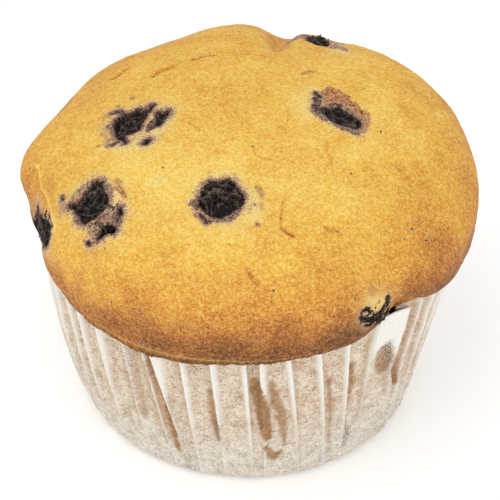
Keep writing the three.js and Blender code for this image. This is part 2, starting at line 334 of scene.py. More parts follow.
# Most places below were marked by eye on the photo, and a separate script turned the marks into mm
POCKETS = [
    Pocket("berry_centre", 255.5, 57, 1.2, (3.6, 3.6), 90, (0.7, -0.3), [
        outline((0.9, 2.5), (2.1, 2.2), (3.1, 1.7), (3.6, 1.0), (3.9, -1.3), (3.5, -2.2), (2.3, -2.6),
                (1.2, -3.5), (0.1, -3.5), (-0.8, -3.0), (-1.3, -2.2), (-2.2, -1.4), (-2.6, -0.5),
                (-2.4, 1.2), (-1.0, 2.2), (-0.4, 2.8)),
    ]),
    Pocket("berry_left", 212.5, 36, 1.3, (4.9, 4.4), 62, (-0.5, -1.2), [
        outline((3.5, 1.4), (3.5, -0.1), (2.1, -0.9), (1.1, -2.0), (-0.8, -2.5), (-2.1, -1.7), (-3.0, -0.7),
                (-3.5, 0.0), (-3.1, 0.7), (-2.2, 1.5), (-1.4, 2.4), (-0.7, 2.8), (0.5, 2.2), (0.7, 1.5),
                (1.4, 1.9), (2.9, 1.5)),
        stroke((-0.7, 3.9, 0.1), (-0.8, 2.8, 0.33)),
        outline((-3.7, -3.4), (-3.5, -4.7), (-3.6, -5.4), (-4.2, -5.5), (-4.4, -4.6), (-4.6, -3.7),
                (-4.2, -3.3)),
        stroke((-5.5, -3.1, 0.1), (-5.0, -3.3, 0.18), (-4.5, -3.8, 0.25)),
        stroke((-0.5, -5.0, 0.13), (-1.3, -5.3, 0.16)),
    ]),
    Pocket("berry_upper_left", 181, 61, 1.5, (5.2, 3.6), 34, (-0.2, 0.3), [
        outline((-1.7, 3.9), (-0.6, 3.7), (0.4, 3.3), (1.6, 3.0), (2.2, 2.1), (2.2, 1.4), (1.2, 0.7),
                (0.1, 0.1), (-0.9, -0.9), (-2.3, -0.7), (-2.8, -0.3), (-3.7, -0.7), (-4.1, -0.5),
                (-3.6, 1.0), (-2.9, 2.8)),
        outline((3.2, 0.2), (3.6, -0.6), (4.7, -0.6), (4.1, -1.2), (2.9, -1.9), (1.9, -2.3), (1.6, -1.8),
                (2.6, -0.9)),
        stroke((2.5, 1.4, 0.12), (3.5, 2.2, 0.1)),
        stroke((-3.7, -0.7, 0.12), (-3.9, -1.8, 0.1)),
        stroke((-2.0, -4.4, 0.12), (-1.2, -4.3, 0.12)),
    ]),
    Pocket("berry_right", 4.8, 68.5, 1.5, (5.0, 3.3), -50, (0.2, 0.5), [
        outline((-2.4, -0.9), (-1.9, -0.2), (-1.2, 1.3), (-0.2, 1.3), (1.3, 1.8), (2.4, 2.0), (3.5, 1.5),
                (3.6, 0.7), (2.9, 0.1), (2.1, -0.6), (1.1, -1.3), (0.1, -1.5), (-1.6, -1.4)),
    ]),
    Pocket("berry_back", 64, 37, -0.1, (1.7, 1.9), 160, (1.7, -0.9), [
        outline((2.9, 0.5), (3.3, -1.6), (1.6, -2.4), (0.3, -2.0), (-0.1, -0.6), (0.4, 0.6), (1.4, 0.9)),
    ], soak=0.5),
    Pocket("berry_side", 199, 1, 1.5, (3.8, 3.9), 90, (-0.9, 1.1), [
        outline((-3.0, -2.4), (-1.8, -1.3), (0.2, -0.8), (4.0, -0.4), (4.0, 3.4), (0.4, 3.1), (-1.3, 2.7),
                (-2.9, 1.2), (-4.6, -1.0), (-4.6, -2.4)),
    ]),
    Pocket("berry_rim", -57.5, 2, 1.2, (3.3, 2.8), 10, (-0.1, -0.7), [
        stroke((-1.5, 0.6, 0.18), (-2.3, 0.5, 0.14), (-2.7, -0.1, 0.14), (-2.4, -0.9, 0.2),
               (-1.5, -1.5, 0.32), (-0.5, -1.8, 0.42), (0.6, -1.4, 0.34), (1.6, -0.6, 0.24),
               (2.4, -0.3, 0.2), (2.7, 0.4, 0.15), (2.3, 1.1, 0.08)),
    ], soak=0.3),
]
POCKET = {pocket.name: pocket for pocket in POCKETS}
print("pockets:", ", ".join(POCKET))

# %% [markdown]
# ## The crust's mesh
# The crown is a fine polar grid, dense enough to hold pockets, cracks and crumbs as true
# geometry. Its rows are spread by arc length, so that the cells stay even from the top of the
# dome to the lip. Under the lip the grid turns up into the groove that takes the paper's edge and
# runs down the stem inside the case, so the crumb is one closed body.

# %% Rows and columns of the crust
COLUMNS = 436
DOME_ROWS = 190
SIDE_ROWS = 26
# Columns are moved by up to this many degrees, so that they lie closer at the front
FRONT_DENSITY = 24


def even_latitudes(top, bottom, count):
    """Latitudes whose rings lie at equal distances along the crust's profile."""
    fine = np.linspace(top, bottom, 2000)
    profile = crown(-90.0, fine)
    length = np.concatenate([[0], np.cumsum(np.linalg.norm(np.diff(profile, axis=0), axis=1))])
    return np.interp(np.linspace(0, length[-1], count), length, fine)


turns = np.arange(COLUMNS) / COLUMNS
azimuths = -90 + 360 * turns - FRONT_DENSITY * np.sin(2 * np.pi * turns)
dome = even_latitudes(90, 0, DOME_ROWS + 1)[1:]
side = even_latitudes(0, -90, SIDE_ROWS + 1)[1:]
latitudes = np.concatenate([dome, side])
smooth = crown(azimuths[None, :], latitudes[:, None])
out = grid_normals(smooth)
out *= np.sign((out * (smooth - HEART)).sum(-1).mean())
distances = {pocket.name: pocket.distance(smooth) for pocket in POCKETS}
ragged = 0.2 * wobble(smooth, 1.3, seed=7)
print("crust grid:", len(latitudes), "rows of", COLUMNS)

# %% [markdown]
# ## Relief of the crust
# Everything that stands proud or sinks in is one map of heights along the crust's normals: slow
# swells, the pockets, the fold where the front of the crown lies over its left side, small cracks
# and the creased lip. Sculpting would give the same forms but could not be rebuilt from a few
# sizes.

# %% Relief
# All in mm
FOLD_DEPTH = 0.9
LIP_FRILL = 0.22
POCKET_DEPTH = 2.5
POCKET_SAG = 0.32

# Cracks and torn spots: half width and depth in mm, then (azimuth, latitude) of each corner. Those
# in front were marked by eye on the photo, and a separate script turned the marks into degrees.
CRACKS = [
    (0.10, 0.30, (191.2, 74.5), (195.0, 75.5), (197.2, 75.0), (200.5, 76.5), (206.2, 76.0)),
    (0.12, 0.15, (272.0, 78.2), (274.0, 75.0), (280.5, 73.5), (288.0, 73.0)),
    (0.12, 0.20, (262.8, 42.0), (264.2, 41.3), (265.5, 42.0), (267.0, 41.0)),
    (0.12, 0.22, (287.5, 60.5), (284.0, 56.5), (282.2, 53.0), (281.2, 48.5)),
    (0.18, 0.40, (281.2, 48.5), (282.8, 46.8), (284.8, 45.0)),
    (0.16, 0.25, (296.5, 46.0), (297.7, 44.0), (299.2, 44.6), (300.4, 42.0)),
    (0.20, 0.12, (335.0, 70.0), (327.0, 68.0), (323.8, 65.5), (319.2, 64.5)),
    (0.30, 0.15, (339.0, 49.0), (338.2, 47.0), (336.2, 45.5), (337.2, 44.0)),
    (0.18, 0.12, (238.5, 73.5), (243.2, 74.5), (252.0, 74.0)),
    (0.16, 0.10, (320.0, 49.5), (317.5, 47.0), (316.2, 44.5)),
    (0.25, 0.20, (269.2, 32.5), (270.4, 29.0), (272.2, 26.0)),
    (0.25, 0.15, (245.2, 28.5), (248.0, 29.0)),
    (0.12, 0.12, (274.0, 24.0), (276.2, 23.0)),
    (0.25, 0.35, (131, 57), (136, 55), (141, 55)),
    (0.25, 0.35, (139, 41), (145, 39)),
    (0.25, 0.30, (110, 60), (115, 58.5), (120, 58)),
    (0.25, 0.35, (150, 20), (155, 21.5), (160, 22)),
]

# Lumps of torn crust by the far berry: place along and across its pocket, height, spread (mm)
LUMPS = [(4.6, -1.5, 0.9, 1.9), (2.8, 3.0, 0.7, 1.8), (-0.9, -0.4, 0.55, 0.9), (0, 3.0, 0.3, 1.6)]


def distance_to_line(points, start, end):
    """Distance in mm from each point to a straight line between two points."""
    edge = end - start
    along = np.clip((points - start) @ edge / edge.dot(edge), 0, 1)
    return np.linalg.norm(points - start - along[..., None] * edge, axis=-1)


def pocket_relief(distance):
    """The crust sinks towards an opening and drops away inside it."""
    edge = distance + ragged
    return -POCKET_DEPTH * (1 - step(-0.22, 0.10, edge)) - POCKET_SAG * np.exp(-np.maximum(edge, 0) / 0.7)


def left_fold():
    """Distance in mm behind the line where the front lies over the left side, and where it counts."""
    a, b, c = POCKET["berry_side"].local(smooth)
    below = b + 3.5 + 0.35 * np.sin(a)
    behind = (a + 4.4 - 0.5 * (b + 3.5)) * 0.95
    inside = np.minimum(below, behind)
    near = (np.abs(c) < 6) * (1 - step(6, 12, a)) * (1 - step(2.4, 4.2, b))
    return inside, near


fold_inside, fold_near = left_fold()
fold_step = step(-0.15, 0.30, fold_inside) * np.exp(-np.maximum(fold_inside - 0.3, 0) / 3.2)
ridge_line = hump(fold_inside + 0.35, 0.3)
relief = 0.26 * wobble(smooth, 9, seed=3) + 0.10 * wobble(smooth, 3.2, seed=5)
relief += 0.05 * wobble(smooth, 1.1, 3, seed=11)
relief -= fold_near * (FOLD_DEPTH * fold_step - 0.12 * ridge_line)
cracks = np.zeros(smooth.shape[:2])
for half_width, depth, *corners in CRACKS:
    for start, end in zip(corners[:-1], corners[1:]):
        away = distance_to_line(smooth, crown(*start), crown(*end)) + 0.8 * ragged
        cracks = np.maximum(cracks, depth * hump(away, half_width * 1.6))
relief -= cracks
for distance in distances.values():
    relief += pocket_relief(distance)
a, b, c = POCKET["berry_back"].local(smooth)
for along, across, rise, spread in LUMPS:
    relief += rise * hump(np.hypot(a - along, b - across), spread) * (np.abs(c) < 5)

# The lip's edge is uneven, most of all at the front left, where it is also creased
frill = 0.6 * wobble(at(azimuths, 33.0, 0), 0.7, 2, seed=13)
frill += 0.8 * wobble(at(azimuths, 33.0, 9), 4, 2, seed=17)
creased = hump(turn_between(-107, azimuths), 24)
crease = -0.25 * hump(latitudes + 60, 4)[:, None] * creased[None, :]
frilled = LIP_FRILL * hump(latitudes + 76, 12)[:, None] * (0.2 + (0.5 + creased) * frill)[None, :]
free = (1 - step(-80, -90, latitudes))[:, None]
crust_points = smooth + out * (relief * free + crease + frilled)[..., None]
drop = (0.1 + 0.35 * creased) * np.maximum(frill, -0.3) - 0.3
crust_points[..., 2] -= step(-60, -86, latitudes)[:, None] * drop[None, :]
print("relief from", round(relief.min(), 2), "to", round(relief.max(), 2), "mm")

# %% [markdown]
# ## One closed crumb
# The crust is only a skin so far. A few more rings close it: up under the lip, across the top of
# the case and down its inside as the stem. A solid body needs this; an open skin would let light
# in and could not be weighed, printed or cut.

# %% The crumb's closed body
# Gaps in mm: from the rim up to the crumb, from the ridges in to the stem, and under the stem
RIM_GAP = 0.35
STEM_GAP = 1.85
BASE_GAP = 0.7
lip, height = lip_radius(azimuths), lip_height(azimuths)
ceiling = CASE_HEIGHT + RIM_GAP
lip_edge = crust_points[-1]
lip_edge_radius = np.hypot(lip_edge[:, 0], lip_edge[:, 1])
# The stem keeps up to 1 mm further in beside the deep fold of the case
fold_room = hump(turn_between(-45.5, azimuths), 4.5)
stem = [
    at(azimuths, wall_radius(azimuths, level) - STEM_GAP - fold_room * level / CASE_HEIGHT, level)
    for level in (30, 20, 10, 2)
]
under = [
    at(azimuths, lip_edge_radius - 0.25, lip_edge[:, 2] - 0.02),
    at(azimuths, lip - 0.6, np.maximum(height, lip_edge[:, 2] + 0.1)),
    at(azimuths, lip - 0.6, ceiling),
    at(azimuths, wall_radius(azimuths, CASE_HEIGHT) - 1.75 - fold_room, ceiling),
    *stem,
    at(azimuths, FOOT_RADIUS - 3, BASE_GAP),
]
rings = np.concatenate([crust_points, np.stack(under)])
crumb = closed_skin("muffin_crumb", rings, crown(0.0, 90.0), (0, 0, BASE_GAP))
print("crumb:", len(crumb.data.vertices), "vertices,", len(crumb.data.polygons), "faces")

# %% [markdown]
# ## Browning, juice and scorch
# The oven browns a muffin by height and by chance, and berries stain the crust round them. Each of
# these is a number from 0 to 1 for each vertex, and the material only turns it into colour.
# Painting by hand would do as well, but numbers keep the script free of pictures.

# %% Paint the crust
# Broad patches of browner (positive) or paler crust: azimuth, latitude, radius in mm, amount
PATCHES = [
    (225, 60, 12, -0.10),
    (262, 40, 7, -0.06),
    (205, 15, 8, -0.10),
    (180, 83, 8, 0.06),
    (100, 62, 14, 0.06),
    (-10, 50, 12, -0.03),
    (-30, 30, 9, 0.06),
    (-95, -20, 9, 0.08),
    (-85, -60, 9, 0.06),
    (-140, -50, 9, -0.16),
    (-35, -15, 8, 0.08),
    (-60, -40, 8, 0.26),
    (-56, 6, 4, -0.15),
    (-15, -5, 8, -0.06),
    (0, 5, 12, 0.04),
    (91, 35, 2.5, 0.05),
]

# Stains round the pockets: strength, then stops of a stroke (a, b, half width in mm). Most of the
# juice and scorch was marked by eye on the photo and turned into mm by a separate script.
JUICE = {
    "berry_centre": [
        (0.62, (-0.3, 3.8, 0.25), (0.0, 3.2, 0.45), (-1.0, 3.1, 0.25)),
        (0.6, (-2.9, 1.2, 0.35), (-3.1, -0.2, 0.45), (-3.1, -1.6, 0.45), (-1.6, -2.8, 0.4)),
        (0.45, (2.8, -2.8, 0.45), (1.7, -3.7, 0.35), (0.1, -3.9, 0.25)),
        (0.85, (-2.3, 2.6, 0.1), (-3.5, 1.6, 0.15)),
        (0.3, (-1.2, -4.4, 0.35), (-0.7, -5.0, 0.35)),
    ],
    "berry_left": [
        (0.5, (3.7, -0.3, 0.35), (2.7, -1.7, 0.35), (1.2, -2.5, 0.4), (-0.1, -2.9, 0.4)),
        (0.55, (-1.2, -3.0, 0.6), (-2.3, -2.4, 0.6), (-2.3, -4.3, 0.6)),
        (0.5, (-3.7, -1.3, 0.4), (-4.5, -2.1, 0.5), (-5.2, -4.0, 0.4)),
        (0.75, (-3.4, -2.2, 0.3), (-3.6, -3.5, 0.3), (-3.3, -4.9, 0.2)),
        (0.75, (-1.7, -5.1, 0.3), (-2.7, -5.7, 0.35), (-3.2, -5.7, 0.2)),
        (0.35, (-4.0, -0.1, 0.4), (-4.8, -1.7, 0.35)),
        (0.62, (-2.4, 1.8, 0.4), (-3.2, 1.5, 0.4), (-3.6, 0.1, 0.2)),
        (0.45, (3.1, 2.4, 0.4), (1.8, 3.2, 0.4), (0.6, 3.7, 0.35)),
        (0.42, (4.1, 1.1, 0.4), (4.3, 0.0, 0.35)),
        (0.3, (-0.5, -5.9, 0.2), (-1.1, -6.4, 0.3)),
        (0.85, (-6.3, -1.5, 0.15), (-6.6, -2.0, 0.15)),
        (0.85, (1.0, 6.3, 0.1), (0.7, 6.0, 0.1)),
        (0.3, (-0.1, 5.6, 0.6), (-1.8, 4.7, 0.6)),
    ],
    "berry_upper_left": [
        (0.72, (-1.6, 5.7, 0.25), (-0.7, 5.2, 0.5), (-0.3, 4.2, 0.3)),
        (0.6, (-3.5, 3.6, 0.3), (-3.4, 2.1, 0.5), (-4.1, 0.5, 0.3)),
        (0.8, (-6.0, -0.4, 0.1), (-5.5, -0.8, 0.15), (-4.4, -0.8, 0.15)),
        (0.4, (-5.9, 0.3, 0.25), (-4.9, 0.5, 0.5)),
        (0.36, (2.6, 1.1, 0.25), (0.3, -0.4, 0.4), (-1.4, -1.2, 0.5), (-3.3, -1.0, 0.3)),
        (0.3, (-3.1, -2.0, 0.5), (-1.1, -2.9, 0.5)),
        (0.72, (0.5, -1.6, 0.15), (1.5, -1.3, 0.4), (2.4, -0.8, 0.3)),
        (0.8, (0.0, -2.5, 0.15), (0.8, -2.2, 0.3), (1.7, -2.2, 0.25)),
        (0.45, (3.8, 0.4, 0.3), (4.5, -0.1, 0.25)),
        (0.22, (-4.1, 4.5, 0.5), (-5.0, 2.7, 0.5)),
    ],
    "berry_right": [
        (1.0, (-5.5, 0.4, 0.15), (-4.7, 0.4, 0.2)),
        (0.75, (-4.7, -0.4, 0.3), (-3.8, -0.6, 0.4), (-2.9, -1.9, 0.5), (-1.9, -1.8, 0.4)),
        (0.55, (-2.5, -2.8, 0.2), (-1.0, -2.4, 0.35), (0.0, -2.3, 0.35)),
        (0.6, (1.3, -1.7, 0.2), (2.5, -1.3, 0.35), (3.5, -0.8, 0.35), (4.9, -0.2, 0.3)),
        (0.7, (-2.6, 0.1, 0.2), (-2.1, 1.1, 0.3), (-1.6, 1.9, 0.3)),
        (0.6, (-0.4, 2.1, 0.2), (0.4, 2.3, 0.2), (1.8, 2.1, 0.2), (3.1, 1.8, 0.15)),
    ],
    "berry_back": [
        (0.5, (6.2, -1.6, 0.8), (4.6, -1.6, 1.2), (3.4, -0.8, 0.6)),
        (0.5, (2.4, 1.2, 0.3), (0.5, 1.6, 0.4), (-1.4, 2.0, 0.5)),
        (0.45, (-1.2, 0.6, 0.7), (-2.6, 1.6, 0.6), (-3.8, 2.4, 0.4)),
        (0.4, (-1.5, -1.5, 0.8), (0.5, -3.4, 0.8), (3.4, -3.0, 0.8)),
    ],
    "berry_side": [(0.5, (-1.6, -2.9, 0.4))],
    "berry_rim": [(0.3, (-1.9, -0.3, 0.4)), (0.4, (-1.6, -2.6, 0.3))],
}
SCORCH = {
    "berry_centre": [
        (1.0, (-2.2, 3.2, 0.2), (-2.9, 2.4, 0.38), (-3.7, 1.7, 0.2)),
        (0.55, (2.6, -5.5, 0.23), (2.1, -6.0, 0.32), (0.7, -6.4, 0.18)),
        (0.45, (-0.5, -6.3, 0.16), (-1.5, -6.3, 0.2)),
        (0.4, (-2.0, -4.4, 0.18)),
        (0.8, (-4.1, -5.7, 0.22)),
        (0.4, (-4.3, -5.1, 0.13)),
        (0.35, (5.5, 1.3, 0.16)),
    ],
    "berry_left": [
        (0.9, (2.8, -2.7, 0.1), (3.0, -3.4, 0.2), (2.3, -4.3, 0.2), (1.7, -4.8, 0.13)),
        (0.5, (4.3, -2.3, 0.35), (3.7, -3.2, 0.35)),
        (0.5, (0.0, 5.7, 0.5), (-1.7, 4.2, 0.4)),
        (0.6, (-0.8, 3.7, 0.22)),
        (0.7, (0.0, -4.9, 0.14), (-1.5, -5.8, 0.14)),
        (0.5, (4.7, 0.5, 0.12)),
        (0.35, (-4.5, 3.0, 0.14)),
        (0.35, (-5.0, 3.6, 0.18)),
        (0.45, (-1.0, 4.8, 0.8)),
    ],
    "berry_upper_left": [
        (0.9, (-2.7, 3.9, 0.2)),
        (0.7, (0.1, 6.3, 0.15)),
        (0.7, (2.6, 6.1, 0.15)),
        (0.7, (-5.2, 2.7, 0.16)),
        (0.8, (-7.1, 0.9, 0.11)),
        (0.35, (-0.3, -5.2, 0.1), (1.0, -4.8, 0.1)),
        (0.6, (-2.4, -4.7, 0.11), (-2.2, -4.5, 0.11)),
        (0.45, (-2.9, 5.6, 0.4), (-1.9, 5.8, 0.4)),
        (0.4, (-4.0, 3.4, 0.3), (-5.7, 0.6, 0.3)),
    ],
    "berry_right": [
        (0.8, (-4.9, 1.2, 0.4), (-5.1, 3.0, 0.6), (-3.8, 3.4, 0.6), (-2.5, 3.9, 0.5)),
        (0.9, (-4.2, 1.0, 0.5), (-3.0, 2.3, 0.6), (-1.6, 2.7, 0.6), (0.2, 2.9, 0.5)),
        (1.0, (-3.0, 0.4, 0.5), (-2.0, 1.6, 0.6), (-0.6, 2.2, 0.5), (1.0, 2.5, 0.4)),
        (0.9, (-1.7, 3.3, 0.35), (-0.6, 3.7, 0.5), (0.4, 3.5, 0.4)),
        (1.0, (1.1, 3.5, 0.4), (2.3, 2.7, 0.4), (3.4, 2.2, 0.6), (4.6, 1.2, 0.35)),
        (0.55, (1.7, 4.3, 0.35), (4.0, 2.7, 0.35)),
        (0.6, (-10.3, 1.9, 0.1), (-10.5, 2.7, 0.16), (-10.1, 4.1, 0.16)),
        (0.4, (-9.0, 2.3, 0.1)),
        (0.4, (0.9, 5.0, 0.1)),
    ],
    "berry_side": [(0.7, (-1.2, -2.6, 0.9)), (0.5, (1.4, -1.2, 0.9)), (0.4, (3.4, 0.6, 0.9))],
    "berry_rim": [(0.5, (-3.3, -0.4, 0.4)), (0.4, (-0.4, 3.2, 0.6)), (0.4, (-1.2, -3.0, 0.4))],
}
# Pale crust with juice below it, in the same way
PALE = {
    "berry_centre": [
        (0.8, (1.6, -4.9, 0.8), (-0.3, -5.3, 0.8), (-2.6, -5.0, 0.7)),
        (0.5, (-4.0, -0.6, 0.5), (-4.3, -3.4, 0.6)),
    ],
    "berry_left": [(1.0, (2.0, -3.3, 0.35), (0.6, -3.9, 0.5)), (0.5, (4.6, 1.6, 0.6), (2.2, 4.4, 0.6))],
    "berry_upper_left": [
        (0.9, (-4.6, -2.4, 0.7), (-2.6, -3.2, 0.8), (-0.2, -3.8, 0.7), (2.8, -3.0, 0.4)),
        (0.5, (3.2, 1.0, 0.5), (5.2, 0.4, 0.4)),
    ],
    "berry_right": [(0.6, (-6.8, 0.2, 0.7), (-5.6, -1.8, 0.7), (-2.6, -3.8, 0.6))],
    "berry_back": [(0.9, (-2.8, 3.2, 0.4), (-3.8, 3.3, 0.4))],
    "berry_rim": [
        (0.9, (-0.8, 1.2, 0.9), (1.0, 1.0, 0.6)),
        (0.9, (-1.8, -0.4, 0.2)),
        (0.8, (0.6, -0.1, 0.4)),
    ],
}
# Pale flecks and streaks: azimuth and latitude of both ends, half width in mm
FLECKS = [
    (223.8, 54, 227, 58, 0.3),
    (24.8, 31, 23.4, 31.6, 0.1),
    (16, 32, 14.5, 30, 0.12),
    (214, 47, 217, 49, 0.2),
]
# Dark specks: azimuth, latitude, radius in mm. Most places were turned into degrees in that way.
SPECKS = [(221.8, 21, 0.34), (227.5, 24, 0.16), (242.5, -7, 0.2), (233.8, -7, 0.16), (242.2, -48, 0.16),
          (220.8, 60.5, 0.17), (322.8, 58.5, 0.18), (356, 56.5, 0.2), (322, 31, 0.16), (317.5, 29.5, 0.15),
          (323.5, 23.5, 0.14), (292.8, 29.5, 0.16), (276.2, 23, 0.13), (272, 78, 0.16), (248.8, -34, 0.14),
          (120, 30, 0.25), (75, 10, 0.2), (95, 48, 0.2)]


# The crust browns from its top over this drop in mm
CROWN_TOP = 51
CROWN_DROP = 17
TOP_BROWN = 0.27
LOW_BROWN = 0.47
UNDER_LIP_BROWN = 0.68


def padded(values, below):
    """Adds the values of the poles and of the rings below the lip."""
    rest = np.full((len(under), COLUMNS), below)
    return np.concatenate([[values[0].mean()], values.ravel(), rest.ravel(), [below]])


def browning():
    """How brown the crust is: most at the lip, with broad patches, and darker in cracks."""
    low = np.clip((CROWN_TOP - smooth[..., 2]) / CROWN_DROP, 0, 1)
    amount = TOP_BROWN + LOW_BROWN * low**1.15
    for azimuth, latitude, radius, extra in PATCHES:
        amount = amount + extra * hump(np.linalg.norm(smooth - crown(azimuth, latitude), axis=-1), radius)
    amount += 0.10 * wobble(smooth, 7, 2, seed=21) + 0.05 * wobble(smooth, 2.2, 2, seed=23)
    # Darkest on the lip, with a painted highlight along its crease, and paler along the ridge of the left
    # fold
    amount += 0.12 * step(0.7, 1.0, low) + 0.25 * step(-62, -74, latitudes)[:, None]
    amount -= 0.05 * hump(latitudes + 54, 3)[:, None] * creased
    amount -= 0.25 * fold_near * ridge_line
    amount += cracks
    return np.clip(amount, 0, 1)


def stains(table, soft):
    """The strongest stain of each vertex; beyond a stroke's edge it fades over the given mm."""
    amount = np.zeros(smooth.shape[:2])
    for pocket in POCKETS:
        a, b, c = pocket.local(smooth)
        for strength, *stops in table.get(pocket.name, []):
            away = stroke(*stops, stops[-1])(a, b) + ragged
            fading = strength * np.exp(-np.maximum(away, 0) / soft)
            amount = np.maximum(amount, fading * (np.abs(c) < SAME_SIDE))
    return amount


def juice():
    """Dark berry juice: in its strokes, round each opening, and in the small specks."""
    amount = stains(JUICE, 0.5)
    for pocket in POCKETS:
        away = np.maximum(distances[pocket.name] + ragged, 0)
        amount = np.maximum(amount, np.exp(-away / pocket.soak))
    for azimuth, latitude, radius in SPECKS:
        away = np.linalg.norm(smooth - crown(azimuth, latitude), axis=-1)
        amount = np.maximum(amount, 1 - step(radius * 0.6, radius * 1.5, away))
    return amount


def halo_and_highlight():
    """The greenish pale crust round a berry that lies just below, pale flecks, and a painted highlight
    along the lip's crease.
    """
    amount = stains(PALE, 0.9)
    for name, distance in distances.items():
        # The crust round the berry at the rim stays golden
        strength = 0.2 if name == "berry_rim" else 0.7
        amount = np.maximum(amount, strength * np.exp(-np.maximum(distance, 0) / 1.4))
    for azimuth, latitude, end_azimuth, end_latitude, half_width in FLECKS:
        away = distance_to_line(smooth, crown(azimuth, latitude), crown(end_azimuth, end_latitude))
        amount = np.maximum(amount, 1 - step(half_width, half_width + 0.35, away + ragged))
    # A painted highlight along the crease of the lip
    return np.maximum(amount, 0.5 * hump(latitudes + 58, 2.5)[:, None] * creased)


paint(crumb, "browning", padded(browning(), UNDER_LIP_BROWN))
paint(crumb, "juice", padded(juice(), 0))
paint(crumb, "scorch", padded(stains(SCORCH, 0.3), 0))
paint(crumb, "halo_and_highlight", padded(halo_and_highlight(), 0))
print("painted on the crumb: browning, juice, scorch, halo")

# %% [markdown]
# ## Shared material effects
# Fine mottling shows on the crust, on the paper and on the berries, at different sizes, so it is a
# node group: one noise with named inputs, placed in each material with its own values. The group
# gives only a value; the shaders stay in the materials.

# %% Colours and node helpers
def linear(red, green, blue):
    """A colour as seen on screen, 0 to 255, turned into the linear colour that shaders use."""
    parts = []
    for seen in (red, green, blue):
        parts.append(((seen / 255 + 0.055) / 1.055) ** 2.4 if seen > 10 else seen / 3294.6)
    return (*parts, 1.0)


def mottle_group():
    """Node group: uneven noise around 0.5, by position on the object."""
    group = bpy.data.node_groups.new("Mottle", "ShaderNodeTree")
    sockets = group.interface
    for name in ("Scale", "Detail", "Contrast"):
        sockets.new_socket(name, in_out="INPUT", socket_type="NodeSocketFloat")
    sockets.new_socket("Value", in_out="OUTPUT", socket_type="NodeSocketFloat")
    nodes, links = group.nodes, group.links
    inputs, outputs = nodes.new("NodeGroupInput"), nodes.new("NodeGroupOutput")
    place = nodes.new("ShaderNodeTexCoord")
    texture = nodes.new("ShaderNodeTexNoise")
    centred = nodes.new("ShaderNodeMath")
    centred.operation = "SUBTRACT"
    centred.inputs[1].default_value = 0.5
    scaled = nodes.new("ShaderNodeMath")
    scaled.operation = "MULTIPLY_ADD"
    scaled.use_clamp = True
    scaled.inputs[2].default_value = 0.5
    links.new(place.outputs["Object"], texture.inputs["Vector"])
    links.new(inputs.outputs["Scale"], texture.inputs["Scale"])
    links.new(inputs.outputs["Detail"], texture.inputs["Detail"])
    links.new(texture.outputs["Fac"], centred.inputs[0])
    links.new(centred.outputs[0], scaled.inputs[0])
    links.new(inputs.outputs["Contrast"], scaled.inputs[1])
    links.new(scaled.outputs[0], outputs.inputs["Value"])
    return group


MOTTLE = mottle_group()


